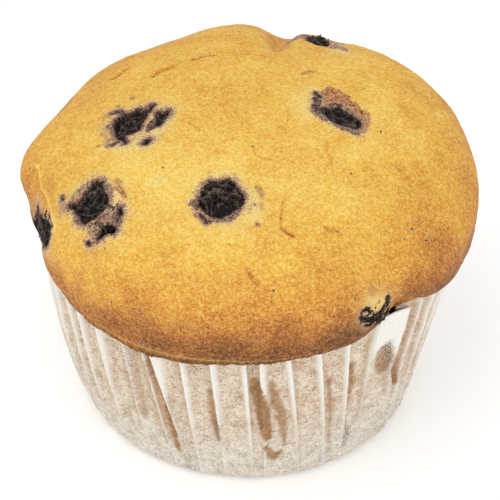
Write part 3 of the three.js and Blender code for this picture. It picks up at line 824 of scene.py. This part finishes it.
class Material:
    """A material with one Principled shader, and short calls to add and join nodes."""

    def __init__(self, name):
        self.material = bpy.data.materials.new(name)
        self.material.use_nodes = True
        self.tree = self.material.node_tree
        self.shader = self.tree.nodes["Principled BSDF"]

    def link(self, source, target):
        self.tree.links.new(source, target)

    def feed(self, name, source):
        """Links a value that changes over the surface to one of the shader's sockets."""
        self.link(source, self.shader.inputs[name])

    def fix(self, name, value):
        """Sets one of the shader's sockets to the same value all over."""
        self.shader.inputs[name].default_value = value

    def node(self, kind, **values):
        made = self.tree.nodes.new(kind)
        for key, value in values.items():
            setattr(made, key, value)
        return made

    def painted(self, name):
        """The number that was stored for each vertex."""
        return self.node("ShaderNodeAttribute", attribute_name=name).outputs["Fac"]

    def mottle(self, scale, detail, contrast):
        made = self.node("ShaderNodeGroup", node_tree=MOTTLE)
        made.inputs["Scale"].default_value = scale
        made.inputs["Detail"].default_value = detail
        made.inputs["Contrast"].default_value = contrast
        return made.outputs["Value"]

    def math(self, operation, first, second, clamp=False):
        made = self.node("ShaderNodeMath", operation=operation, use_clamp=clamp)
        for socket, value in zip(made.inputs, (first, second)):
            if isinstance(value, (int, float)):
                socket.default_value = value
            else:
                self.link(value, socket)
        return made.outputs[0]

    def plus(self, first, second, clamp=False):
        return self.math("ADD", first, second, clamp)

    def minus(self, first, second):
        return self.math("SUBTRACT", first, second)

    def times(self, first, second):
        return self.math("MULTIPLY", first, second)

    def centred(self, value, size):
        """A value round 0.5 turned into one round 0, scaled."""
        return self.times(self.minus(value, 0.5), size)

    def edge(self, painted, grain, roughness, low, high):
        """A painted mask whose edge is broken up by a grain."""
        return self.between(self.plus(painted, self.centred(grain, roughness)), low, high)

    def between(self, value, low, high):
        """0 below low and 1 above high, with a smooth change."""
        made = self.node("ShaderNodeMapRange", interpolation_type="SMOOTHSTEP")
        self.link(value, made.inputs["Value"])
        made.inputs["From Min"].default_value = low
        made.inputs["From Max"].default_value = high
        return made.outputs["Result"]

    def ramp(self, value, stops):
        """Colours along a value; stops are (place, colour as seen on screen)."""
        made = self.node("ShaderNodeValToRGB")
        elements = made.color_ramp.elements
        while len(elements) < len(stops):
            elements.new(0.5)
        for element, (place, colour) in zip(elements, stops):
            element.position, element.color = place, linear(*colour)
        self.link(value, made.inputs["Fac"])
        return made.outputs["Color"]

    def gamma(self, colour, power):
        """A colour raised to a power: above 1 it turns deeper, below 1 paler."""
        made = self.node("ShaderNodeGamma")
        self.link(colour, made.inputs["Color"])
        self.link(power, made.inputs["Gamma"])
        return made.outputs["Color"]

    def brightened(self, colour, value):
        """A colour multiplied by a value."""
        made = self.node("ShaderNodeHueSaturation")
        self.link(colour, made.inputs["Color"])
        self.link(value, made.inputs["Value"])
        return made.outputs["Color"]

    def mix(self, amount, first, second):
        """Mixes two colours; each may be a socket or a colour as seen on screen."""
        made = self.node("ShaderNodeMix", data_type="RGBA")
        self.link(amount, made.inputs[0])
        for socket, colour in ((made.inputs[6], first), (made.inputs[7], second)):
            if isinstance(colour, tuple):
                socket.default_value = linear(*colour)
            else:
                self.link(colour, socket)
        return made.outputs[2]

    def bump(self, height, strength, distance, below=None):
        """Normals roughened by a height, over those of a bump below where one is given."""
        made = self.node("ShaderNodeBump")
        made.inputs["Strength"].default_value = strength
        made.inputs["Distance"].default_value = distance
        self.link(height, made.inputs["Height"])
        if below is not None:
            self.link(below, made.inputs["Normal"])
        return made.outputs["Normal"]

# %% [markdown]
# ## The crust's material
# A baked crust is matt, with a fine pebbled skin. Its colour runs from pale butter yellow through
# gold to toffee brown as the browning rises, and berry juice turns it mauve near the pockets.

# %% Crust material
def crust_material():
    crust = Material("baked_crust")
    # Three sizes of unevenness, about a quarter, half and two and a half millimetres across
    fine = crust.mottle(4000, 1.5, 2.4)
    medium = crust.mottle(1700, 2.5, 1.8)
    coarse = crust.mottle(420, 3.0, 1.2)
    grain = crust.plus(crust.centred(coarse, 0.18), crust.centred(medium, 0.12))
    grain = crust.plus(grain, crust.centred(fine, 0.06))
    amount = crust.plus(crust.painted("browning"), grain, clamp=True)
    colour = crust.ramp(amount, [
        (0.0, (246, 219, 124)),
        (0.16, (239, 202, 98)),
        (0.34, (229, 179, 74)),
        (0.52, (212, 150, 62)),
        (0.72, (176, 112, 50)),
        (1.0, (118, 72, 36)),
    ])
    # Juice below the surface leaves the crust greenish and pale; the same mix lays on the painted highlight
    # along the lip's crease
    pale = crust.times(crust.painted("halo_and_highlight"), 0.8)
    colour = crust.mix(pale, colour, crust.mix(medium, (214, 184, 104), (242, 222, 150)))
    # Freckles deepen the colour and darken it a little
    freckled = crust.plus(crust.centred(fine, 0.55), crust.centred(medium, 0.35))
    freckled = crust.math("MAXIMUM", freckled, -0.3)
    colour = crust.gamma(colour, crust.plus(1.0, freckled))
    colour = crust.brightened(colour, crust.minus(1.0, crust.times(freckled, 0.08)))
    # Scorched crumbs and cracks
    scorch = crust.edge(crust.painted("scorch"), medium, 0.35, 0.1, 0.75)
    singed = crust.ramp(crust.plus(fine, crust.centred(medium, 0.6)), [
        (0.1, (98, 52, 30)), (0.5, (172, 112, 68)), (0.9, (216, 168, 116)),
    ])
    colour = crust.mix(scorch, colour, singed)
    # Juice goes from a faint beige to nearly black, and its edge breaks up into dots
    speckled = crust.plus(crust.centred(fine, 0.5), crust.centred(medium, 0.34))
    juice = crust.plus(crust.painted("juice"), speckled, clamp=True)
    present = crust.between(crust.plus(juice, crust.times(crust.painted("juice"), 0.6)), 0.08, 0.75)
    present = crust.times(present, crust.between(crust.painted("juice"), 0.02, 0.14))
    colour = crust.mix(present, colour, crust.ramp(juice, [
        (0.0, (220, 188, 138)),
        (0.3, (190, 154, 120)),
        (0.55, (138, 106, 88)),
        (0.8, (66, 49, 41)),
        (1.0, (20, 14, 12)),
    ]))
    crust.feed("Base Color", colour)
    # A dull, pebbled surface
    pebbles = crust.bump(fine, 0.35, 0.0001)
    crust.feed("Normal", crust.bump(medium, 0.4, 0.0002, pebbles))
    rough = crust.plus(crust.times(medium, 0.2), 0.58)
    crust.feed("Roughness", rough)
    crust.fix("Specular IOR Level", 0.25)
    return crust.material


crumb.data.materials.append(crust_material())
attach(crumb, "root")
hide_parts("crumb")
print("crust material on", crumb.name)

# %% [markdown]
# ## The paper case
# Baking cases are pressed from one round of thin paper: narrow standing ridges between flatter
# panels that cling to the cake. The sheet is modelled as two skins a sixth of a millimetre apart.
# A pleat is a function of the way along the paper; the ridges of the front stand at uneven
# azimuths, as they do on the real case, and the rest are evenly spaced.

# %% Ridges of the pleats
SHEET = 0.16
# How far the panels lie behind the ridges, in mm, at the foot and at the rim
FOOT_PLEAT, RIM_PLEAT = 0.12, 1.2
# Degrees from one ridge to the next at the back, and how far each leans on its way down
BACK_PITCH = 7.7
LEAN = 3.5
# A leaning ridge starts this many degrees to the left of the azimuth given for it
BAND_SHIFT = -0.6
# Height in mm above which a ridge has its full width
FULL_WIDTH = 28
CASE_ROWS = 62
# Places of the columns from one ridge to the next, closest beside the ridges
SHARES = np.array([0, 0.03, 0.07, 0.13, 0.2, 0.29, 0.39, 0.5, 0.61, 0.71, 0.8, 0.87, 0.93, 0.97])
# A ridge is wide on its slow side, and falls off within a fifth of a millimetre on its sharp one
SLOW, FAST = 0.8, 0.2


class Ridge:
    """A pleat's ridge: azimuths from the rim to the foot, width of its white band, sharp side."""

    def __init__(self, rim, foot, wide, narrow, sharp="left", lines=None, low=0):
        self.lines = lines or [(CASE_HEIGHT, rim), (0, foot)]
        self.wide, self.narrow, self.sharp, self.low = wide, narrow, sharp, low

    def azimuth(self, z):
        """Where the ridge stands at each height."""
        levels, azimuths = zip(*sorted(self.lines))
        return np.interp(z, levels, azimuths)

    def reach(self, z, side):
        """Half width of the ridge in mm towards its left or right."""
        share = np.clip((z - self.low) / (FULL_WIDTH - self.low), 0, 1.2)
        width = self.narrow + (self.wide - self.narrow) * share
        if self.sharp == "both":
            return 0.6 * width
        return width * SLOW if side != self.sharp else np.full_like(width, FAST)


def leaning(azimuth, wide, narrow, sharp):
    """A plain ridge, which leans to the right on its way down."""
    start = azimuth + BAND_SHIFT
    return Ridge(start, start + LEAN, wide, narrow, sharp)


def front_ridges():
    """The ridges in front, each at its own place, from the left round to the deep fold."""
    return [
        leaning(-149, 0.9, 0.5, "left"),
        leaning(-143.6, 1.2, 0.5, "left"),
        leaning(-136, 1.7, 0.5, "left"),
        leaning(-126.6, 1.2, 0.5, "left"),
        Ridge(-121, -114.5, 0.4, 0.35, "both"),
        Ridge(-119.3, -108.7, 3.0, 0.25, "left", low=18),
        leaning(-108.8, 1.2, 0.5, "left"),
        leaning(-100.3, 1.3, 0.5, "left"),
        leaning(-90.8, 1.2, 0.4, "right"),
        leaning(-86.9, 1.4, 0.6, "left"),
        Ridge(-79.8, -71.9, 1.2, 0.3, "right"),
        Ridge(-71.4, -62.7, 1.1, 0.4, "right"),
        Ridge(-62.9, -56.2, 1.0, 0.4, "right"),
        Ridge(-54.1, -50.5, 0.7, 0.4, "both", [(34, -53.5), (26, -53.6), (15, -52.3), (0, -50.3)]),
    ]


# The deep fold: its edge and the line behind it, as (height, azimuth), how far each of the two
# reaches out as (height, mm), and the ridge after the fold. Like the ridges in front, it started
# from marks on the photo that a separate script turned into degrees, and was then adjusted.
FOLD_EDGE = [(34, -44.4), (29, -43.5), (25, -43.7), (18.7, -43.9), (13, -39.2), (0, -35.5)]
FOLD_BACK = [(34, -46.9), (22, -46.6), (18.7, -46.0), (13, -40.2), (0, -35.9)]
EDGE_OUT = [(34, 0.4), (20, 0.3), (12, 0.0), (0, 0.0)]
CREASE_IN = -0.3
BACK_IN = [(34, -1.15), (22, -1.0), (12, -0.3), (0, -0.1)]
FOLD_RIDGE = [(34, -38.6), (28, -37.4), (24, -37.8), (18.8, -37.6), (13, -37.0), (0, -34)]


def pleat_depth(z):
    """How far the panels lie behind the ridges at each height."""
    return FOOT_PLEAT + (RIM_PLEAT - FOOT_PLEAT) * np.clip(z / CASE_HEIGHT, 0, 1) ** 0.8


def along_height(stops, z):
    """A value at each height, from stops of (height, value)."""
    levels, values = zip(*sorted(stops))
    return np.interp(z, levels, values)


def back_ridges(first, last):
    """Evenly spaced ridges round the side and back, each slightly off its place."""
    count = round((last - first) / BACK_PITCH)
    places = first + np.arange(1, count) * (last - first) / count
    places = places + 0.9 * np.sin(2.4 * np.arange(1, count))
    return [leaning(place, 1.3, 0.5, "left") for place in places]


# %% [markdown]
# ## Pleats and the deep fold
# Every column of the sheet's grid is a line on the paper from rim to foot. A plain pleat has
# fourteen of them, bunched at its ridges. The deep fold at the right front needs three layers:
# the front panel, a panel turned back behind it, and the recessed panel that comes out again.

# %% Build the case
# Length in mm of one degree round the case's wall
DEGREE = np.radians(1) * 30
FOOT_ROUNDING = 1.2
z = (CASE_HEIGHT * np.linspace(0, 1, CASE_ROWS) ** 0.92)[:, None]
before_fold = front_ridges()
after_fold = [Ridge(-38.8, -34, 0.8, 0.5, "left", FOLD_RIDGE)]
after_fold += back_ridges(-38.8, before_fold[0].lines[0][1] + 360)


def pleat(left, right):
    """Azimuth, radius, whiteness and shade of the columns from one ridge to just before the next."""
    start, end = left.azimuth(z), right.azimuth(z)
    azimuth = start + (end - start) * SHARES[None, :]
    degree = np.radians(1) * wall_radius(azimuth, z)
    from_left = (azimuth - start) * degree
    from_right = (end - azimuth) * degree
    crest = np.maximum(
        1 - step(0.25, 1.35, from_left / left.reach(z, "right")),
        1 - step(0.25, 1.35, from_right / right.reach(z, "left")),
    )
    shade = np.maximum(
        hump(np.maximum(from_left - 0.3, 0), 1.0) * (left.sharp != "left"),
        hump(np.maximum(from_right - 0.3, 0), 1.0) * (right.sharp != "right"),
    )
    shade = shade * (1 - crest) * (0.35 + 0.65 * step(-105, -117, azimuth) * step(-155, -140, azimuth))
    return azimuth, wall_radius(azimuth, z) - pleat_depth(z) * (1 - crest), crest, shade


def deep_fold(crease, ridge):
    """The front panel, the panel turned back behind it, and the recessed panel up to the next ridge."""
    edge, back = along_height(FOLD_EDGE, z), along_height(FOLD_BACK, z)
    edge_out, back_in = along_height(EDGE_OUT, z), along_height(BACK_IN, z)
    start, end = crease.azimuth(z), ridge.azimuth(z)
    shares = SHARES[None, :]
    front = start + (edge - start) * shares
    front_out = CREASE_IN + (edge_out - CREASE_IN) * shares**1.2
    front_out = front_out - 0.25 * hump(shares - 0.5, 0.3) * step(20, 34, z)
    turned = edge + (back - edge) * shares[:, ::2] ** 1.8
    turned_reach = edge_out + (back_in - edge_out) * shares[:, ::2] ** 0.7
    inner = back + (end - back) * shares
    rise = 1 - step(0.2, 1.2, (end - inner) * DEGREE / 0.4)
    inner_out = back_in - (pleat_depth(z) + back_in) * step(0.3, 0.65, shares) * np.clip(z / 16, 0, 1)
    inner_out = inner_out * (1 - rise)
    # The front panel is clean above a slanting line, and so are the rims behind it
    front_white = np.clip(0.95 * step(22, 28, z + 0.28 * (front + 50)) + 0.25, 0, 1)
    turned_white = np.ones_like(turned) * 0.8
    inner_white = np.maximum(0.55 * rise, 0.7 * step(31, 34, z))
    white = np.concatenate([front_white, turned_white, inner_white], axis=1)
    # Painted shade in the recess behind the fold
    band = (1 - rise) * (0.55 + 0.45 * step(32, 20, z)) * step(11, 14, z)
    shade = np.concatenate([0 * front, 0 * turned, band], axis=1)
    azimuth = np.concatenate([front, turned, inner], axis=1)
    outwards = np.concatenate([front_out, turned_reach, inner_out], axis=1)
    return azimuth, wall_radius(azimuth, z) + outwards, white, shade


pleats = [pleat(left, right) for left, right in zip(before_fold[:-1], before_fold[1:])]
pleats.append(deep_fold(before_fold[-1], after_fold[0]))
# The last pleat ends at the first ridge, a full turn later
first_again = Ridge(0, 0, before_fold[0].wide, before_fold[0].narrow)
first_again.lines = [(level, azimuth + 360) for level, azimuth in before_fold[0].lines]
pleats += [pleat(left, right) for left, right in zip(after_fold, after_fold[1:] + [first_again])]
column_azimuth, radius, white, shade = (np.concatenate(parts, axis=1) for parts in zip(*pleats))

# The wall rounds into the base, and the rim dips a little behind the fold
foot = 1 - step(0, FOOT_HEIGHT, z)
radius = radius - FOOT_ROUNDING * foot**2
rim_dip = 0.5 * hump(turn_between(-39.0, column_azimuth), 1.4) * step(26, 34, z)
outer = at(column_azimuth, radius, z + 0 * radius)
outer[..., 2] -= rim_dip
face = grid_normals(outer)
face *= np.sign((face * at(column_azimuth, 1, 0)).sum(-1).mean())
crinkle = 0.06 * wobble(outer, 1.5, 2, seed=41) + 0.09 * wobble(outer, 5, seed=43)
outer = outer + face * (crinkle * step(0.3, 3, z))[..., None]
inner = outer - face * SHEET
inner[..., 2] = np.maximum(inner[..., 2], SHEET)
rings = np.concatenate([outer, inner[::-1]])
case = closed_skin("paper_case_sheet", rings, (0, 0, 0), (0, 0, SHEET))
print("case:", len(pleats), "pleats,", len(case.data.polygons), "faces")

# %% [markdown]
# ## Stains and panels
# Fat from the cake turns the paper see-through and brown, in drops that ran down the pleats. The
# drops are strokes laid on the wall by azimuth and height; two more strokes lay painted shade in
# recesses beside the folds. Where each panel clings, and where it is in the shade of a ridge, is known
# from how the sheet was built.

# %% Paint the paper
# Grease stains: (azimuth, height, half width in mm) along a line, and the strength. Most places of
# these and of the grey stains were marked by eye on the photo and turned into degrees and mm by a
# separate script.
GREASE_AND_SHADE = [
    ([(-88.5, 25.4, 0.4), (-87.3, 22.3, 0.85), (-86.0, 18.9, 0.95), (-83.8, 11.4, 0.7)], 0.9),
    ([(-83.7, 24.4, 0.4), (-82.0, 20.3, 0.75), (-80.6, 18.0, 0.8), (-78.4, 10.6, 0.45),
      (-78.0, 8.8, 0.3)], 0.62),
    ([(-84.3, 9.1, 0.3), (-81.7, 6.1, 0.7), (-79.3, 7.1, 0.4)], 0.75),
    ([(-101.3, 22.4, 0.3), (-100.3, 15.4, 0.55), (-99.2, 10.5, 0.3)], 0.6),
    ([(-66.3, 22.8, 0.3), (-63.9, 15.2, 0.3), (-62.2, 6.5, 0.15)], 0.6),
    ([(-59.4, 24.6, 0.5), (-57.8, 19.8, 0.35), (-57.6, 15.5, 0.2)], 0.65),
    ([(-125.1, 28.0, 1.2), (-124.5, 20.0, 1.1), (-123.2, 11.5, 0.5)], 0.38),
    ([(-119.1, 26.1, 0.2), (-117.1, 21.0, 0.35), (-115.2, 17.7, 0.3)], 0.5),
    # Painted shade: the dark brown valley on the left of the strong fold
    ([(-115.2, 16.4, 0.3), (-113.9, 10.8, 0.5), (-113.2, 5.7, 0.3)], 0.8),
    ([(-49.2, 25.6, 1.2), (-48.2, 22.8, 1.6), (-47.4, 20.5, 1.1)], 0.66),
    # Painted shade: the tan band in the recess behind the deep fold
    ([(-40.8, 20.0, 0.2), (-39.9, 17.6, 0.5), (-37.2, 13.2, 0.3)], 0.8),
]
# Grey speckled stains, in the same way
GREY = [
    ([(-57.3, 10.1, 0.3), (-55.1, 6.6, 0.7), (-55.8, 4.1, 0.4)], 0.9),
    ([(-48.0, 26.6, 0.7), (-46.2, 21.5, 1.0), (-45.4, 17.5, 0.35), (-42.6, 12.8, 0.15)], 0.8),
    ([(-62.3, 5.3, 0.3), (-61.3, 3.9, 0.3)], 0.7),
    ([(-99.8, 14.0, 0.3), (-99.1, 11.1, 0.35)], 0.7),
    ([(-111.0, 4.2, 0.4), (-110.3, 1.3, 0.4)], 0.7),
    ([(-89.5, 1.1, 0.3), (-88.2, 0.9, 0.3)], 0.5),
]


def wall_stain(table):
    """The strongest stroke of a table, stains and painted shade alike, at each point of the sheet's outer
    skin.
    """
    azimuth = np.degrees(np.arctan2(outer[..., 1], outer[..., 0]))
    level = outer[..., 2]
    uneven = 0.3 * wobble(outer, 1.2, 2, seed=47)
    amount = np.zeros(azimuth.shape)
    for stops, strength in table:
        middle = stops[0][0]
        line = stroke(*[(turn_between(middle, a) * DEGREE, b, c) for a, b, c in stops])
        away = line(turn_between(middle, azimuth) * DEGREE, level) + uneven
        amount = np.maximum(amount, strength * (1 - step(-0.3, 0.6, away)))
    return amount


def both_skins(values):
    """Values for the poles, the outer skin and the inner skin."""
    return np.concatenate([[0.5], values.ravel(), values[::-1].ravel(), [0.5]])


# The ridges are whitest near the rim
fade = 0.3 + 0.6 * step(6, 28, z)
paint(case, "cling", both_skins(1 - white * fade))
paint(case, "grease", both_skins(wall_stain(GREASE_AND_SHADE)))
paint(case, "grey", both_skins(wall_stain(GREY)))
paint(case, "shade", both_skins(shade * step(3, 16, z)))
paint(case, "foot", both_skins(1 - step(3, 20, z) + 0 * radius))
print("painted on the case: cling, grease, grey, shade, foot")

# %% [markdown]
# ## Paper material
# Where the panels cling to the cake, grease shows through as a fine beige speckle. The ridges stand
# free and stay nearly white, and where a berry or an oily crumb lies behind the sheet it turns
# brown or grey. Shade in the lee of the ridges and in the recesses beside the folds is painted on in
# tan and brown.

# %% Paper material
def paper_material():
    paper = Material("baking_paper")
    fine = paper.mottle(4200, 2.0, 2.2)
    medium = paper.mottle(1500, 3.0, 1.7)
    cloud = paper.mottle(420, 3.0, 1.8)
    mottled = paper.plus(paper.centred(medium, 0.45), paper.centred(fine, 0.9))
    tone = paper.plus(paper.plus(paper.times(cloud, 0.4), 0.30), mottled, clamp=True)
    tan = paper.ramp(tone, [
        (0.0, (148, 110, 76)),
        (0.25, (186, 156, 124)),
        (0.5, (211, 193, 170)),
        (0.75, (228, 217, 201)),
        (1.0, (241, 236, 226)),
    ])
    grey = paper.ramp(tone, [
        (0.0, (150, 134, 116)),
        (0.25, (188, 175, 158)),
        (0.5, (214, 205, 191)),
        (0.75, (230, 224, 213)),
        (1.0, (242, 238, 230)),
    ])
    # The clinging panels are tan high up and greyer towards the foot
    clinging = paper.mix(paper.painted("foot"), tan, grey)
    clean = paper.mix(paper.between(fine, 0.0, 0.6), (226, 218, 205), (240, 238, 230))
    cling = paper.edge(paper.painted("cling"), fine, 0.4, 0.1, 0.95)
    colour = paper.mix(cling, clean, clinging)
    # Painted shade in tan, in the lee of the ridges and in the recess behind the deep fold; then the brown
    # stains, two of which are painted shade too, and the grey stains
    shade = paper.times(paper.edge(paper.painted("shade"), fine, 0.5, 0.0, 0.9), 0.75)
    colour = paper.mix(shade, colour, paper.mix(medium, (168, 124, 84), (212, 182, 150)))
    grease = paper.edge(paper.painted("grease"), fine, 0.7, 0.1, 0.8)
    colour = paper.mix(grease, colour, paper.mix(medium, (128, 86, 48), (184, 144, 102)))
    spotted = paper.times(paper.painted("grey"), paper.between(fine, 0.4, 0.7))
    colour = paper.mix(spotted, colour, (104, 94, 82))
    paper.feed("Base Color", colour)
    paper.feed("Normal", paper.bump(medium, 0.35, 0.0002))
    rough = paper.minus(0.9, paper.times(cling, 0.15))
    paper.feed("Roughness", rough)
    paper.fix("Specular IOR Level", 0.3)
    return paper.material


case.data.materials.append(paper_material())
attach(case, "root")
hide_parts("paper_case")
print("paper material on", case.name)

# %% [markdown]
# ## The berries
# In the oven a berry bursts, sinks and dries into dark folds. Each one is a dense sphere, pressed
# flat on top and pulled into creases by noise, in the frame of its own pocket.

# %% Build the berries
BERRY_LEVEL = 6
# Half height in mm of a berry below and above its widest ring
BERRY_BELLY = 2.6
BERRY_CROWN = 1.0
# Sizes in mm of the wide and of the small folds in its skin
WIDE_FOLDS = 1.5
SMALL_FOLDS = 0.8


def berry_points(sphere, pocket, seed):
    """Moves the points of a unit sphere to a shrunken berry; also gives a painted highlight for each point,
    pale on the crests of the folds and dark in the creases.
    """
    scaled = sphere * np.array([pocket.half[0], pocket.half[1], 1])
    scaled[:, 2] *= np.where(sphere[:, 2] > 0, BERRY_CROWN, BERRY_BELLY)
    bent = scaled + 0.8 * np.stack([wobble(scaled, 1.9, seed=seed + k) for k in (1, 2, 3)], axis=-1)
    wide = np.abs(wobble(bent, WIDE_FOLDS, seed=seed))
    folds = np.clip(1 - wide * 3.2, 0, 1)
    small = np.abs(wobble(bent, SMALL_FOLDS, seed=seed + 4))
    fine = np.clip(1 - small * 3, 0, 1)
    swell = wobble(scaled, 2.4, seed=seed + 5)
    exposed = np.clip(sphere[:, 2] * 2 + 0.6, 0, 1)
    # The skin rises in folds, in mm, where it is not hidden in the crust
    scaled[:, 2] += (0.48 * folds + 0.28 * fine + 0.25 * swell - 0.38) * exposed
    lift = scaled[:, 2] - pocket.depth
    a = scaled[:, :1] + pocket.centre[0]
    b = scaled[:, 1:2] + pocket.centre[1]
    points = pocket.middle + a * pocket.along + b * pocket.across + lift[:, None] * pocket.out
    # Painted highlight on the crests of the folds, and painted shade in the creases between them
    thin = np.clip(1 - wide * 8, 0, 1)
    thinner = np.clip(1 - small * 5, 0, 1)
    return points, 0.10 + 0.18 * folds + 0.5 * np.maximum(0.75 * thin, 0.85 * thinner)


def berry_piece(pocket, seed):
    """One berry as a mesh of its own."""
    bpy.ops.mesh.primitive_ico_sphere_add(subdivisions=BERRY_LEVEL, radius=1.0, location=(0, 0, 0))
    piece = bpy.context.active_object
    piece.name = piece.data.name = pocket.name + "_skin"
    sphere = np.empty(len(piece.data.vertices) * 3)
    piece.data.vertices.foreach_get("co", sphere)
    moved, fold_highlight = berry_points(sphere.reshape(-1, 3), pocket, seed)
    piece.data.vertices.foreach_set("co", (moved * MM).ravel())
    piece.data.shade_smooth()
    paint(piece, "fold", fold_highlight)
    return piece


def berry_material():
    berry = Material("berry_skin")
    fine = berry.mottle(4600, 2.0, 2.2)
    coarse = berry.mottle(500, 2.0, 2.2)
    # The painted fold value turns into painted highlight on the crests and painted shade in the creases
    fold = berry.plus(berry.painted("fold"), berry.centred(fine, 0.5), clamp=True)
    colour = berry.ramp(fold, [
        (0.1, (12, 8, 6)),
        (0.35, (34, 26, 22)),
        (0.65, (86, 72, 64)),
        (1.0, (158, 138, 122)),
    ])
    colour = berry.mix(berry.between(coarse, 0.8, 1.0), colour, (78, 34, 22))
    berry.feed("Base Color", colour)
    berry.feed("Normal", berry.bump(fine, 0.5, 0.00012))
    berry.feed("Roughness", berry.plus(berry.times(fine, 0.3), 0.3))
    berry.fix("Specular IOR Level", 0.15)
    return berry.material


berry_look = berry_material()
for number, pocket in enumerate(POCKETS):
    berry = berry_piece(pocket, 50 + 7 * number)
    berry.data.materials.append(berry_look)
    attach(berry, "root")
    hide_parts(pocket.name)
print("berries:", len(POCKETS))

# %% [markdown]
# ## Floor and light
# The muffin stands on a plain white floor. Even white light from all round would leave it flat,
# so two soft round lamps are added: the stronger one from the left, the weaker one lower down at
# the right.

# %% Floor and light
# Half the floor's side in metres, how white it is, how much it glows, and the light all round
FLOOR_HALF = 3.0
FLOOR_WHITE = 0.97
FLOOR_GLOW = 0.14
SKY_STRENGTH = 0.84


def floor_plane():
    """A wide white floor, which glows a little so that it stays white in the picture."""
    mesh = bpy.data.meshes.new("studio_floor")
    corners = [(x * FLOOR_HALF, y * FLOOR_HALF, 0) for x, y in ((-1, -1), (1, -1), (1, 1), (-1, 1))]
    mesh.from_pydata(corners, [], [(0, 1, 2, 3)])
    plane = bpy.data.objects.new("studio_floor", mesh)
    bpy.context.scene.collection.objects.link(plane)
    look = Material("studio_floor")
    look.fix("Roughness", 0.9)
    look.fix("Base Color", (FLOOR_WHITE, FLOOR_WHITE, FLOOR_WHITE, 1))
    look.fix("Specular IOR Level", 0.1)
    look.fix("Emission Color", (1, 1, 1, 1))
    look.fix("Emission Strength", FLOOR_GLOW)
    mesh.materials.append(look.material)


def studio_light():
    """Even white light from all round."""
    world = bpy.data.worlds.new("studio")
    bpy.context.scene.world = world
    world.use_nodes = True
    background = world.node_tree.nodes["Background"]
    background.inputs["Color"].default_value = (1, 1, 1, 1)
    background.inputs["Strength"].default_value = SKY_STRENGTH


def soft_light(name, azimuth, rise, distance, size, power):
    """A round lamp that faces the muffin; angles in degrees, distance and size in metres, watts."""
    lamp = bpy.data.lights.new(name, "AREA")
    lamp.shape, lamp.size, lamp.energy = "DISK", size, power
    holder = bpy.data.objects.new(name, lamp)
    radius = distance * math.cos(math.radians(rise))
    holder.location = Vector(at(azimuth, radius, distance * math.sin(math.radians(rise))))
    holder.rotation_euler = (-holder.location).to_track_quat("-Z", "Y").to_euler()
    bpy.context.scene.collection.objects.link(holder)


floor_plane()
studio_light()
soft_light("key_light", azimuth=-130, rise=62, distance=1.2, size=0.9, power=3.2)
soft_light("fill_light", azimuth=-60, rise=28, distance=1.2, size=1.0, power=1.6)
bpy.context.scene.view_settings.view_transform = "Standard"
print("lights:", ", ".join(lamp.name for lamp in bpy.data.lights))

# %% [markdown]
# ## Camera
# A long lens sixty centimetres away, so that the round case shows as little perspective as in a
# catalogue picture. The lens follows from how many pixels a millimetre of the muffin should take.

# %% Add the camera
# Angles in degrees and places in metres; the picture's side is in pixels, the sensor's in mm
CAMERA_RISE = 40.5
CAMERA_DISTANCE = 0.6
CAMERA_ROLL = 0.6
AIM = Vector((0, -0.0026, 0.027))
HEART_POINT = Vector((0, 0, 0.03))
IMAGE_SIDE = 500
PIXELS_PER_MM = 6.623
SENSOR = 36


def add_camera():
    """A camera that looks from the front and above at a point near the muffin's heart."""
    data = bpy.data.cameras.new("camera")
    data.sensor_width = SENSOR
    data.lens = data.sensor_width * PIXELS_PER_MM * CAMERA_DISTANCE / MM / IMAGE_SIDE
    data.clip_start, data.clip_end = 0.05, 20
    camera = bpy.data.objects.new("camera", data)
    bpy.context.scene.collection.objects.link(camera)
    rise = math.radians(CAMERA_RISE)
    back = Vector((0, -math.cos(rise), math.sin(rise)))
    camera.location = HEART_POINT + back * CAMERA_DISTANCE
    facing = (AIM - camera.location).to_track_quat("-Z", "Y").to_matrix()
    roll = Matrix.Rotation(math.radians(CAMERA_ROLL), 3, "Z")
    camera.rotation_euler = (facing @ roll).to_euler()
    bpy.context.scene.camera = camera
    print("camera with a lens of", round(data.lens), "mm")


add_camera()
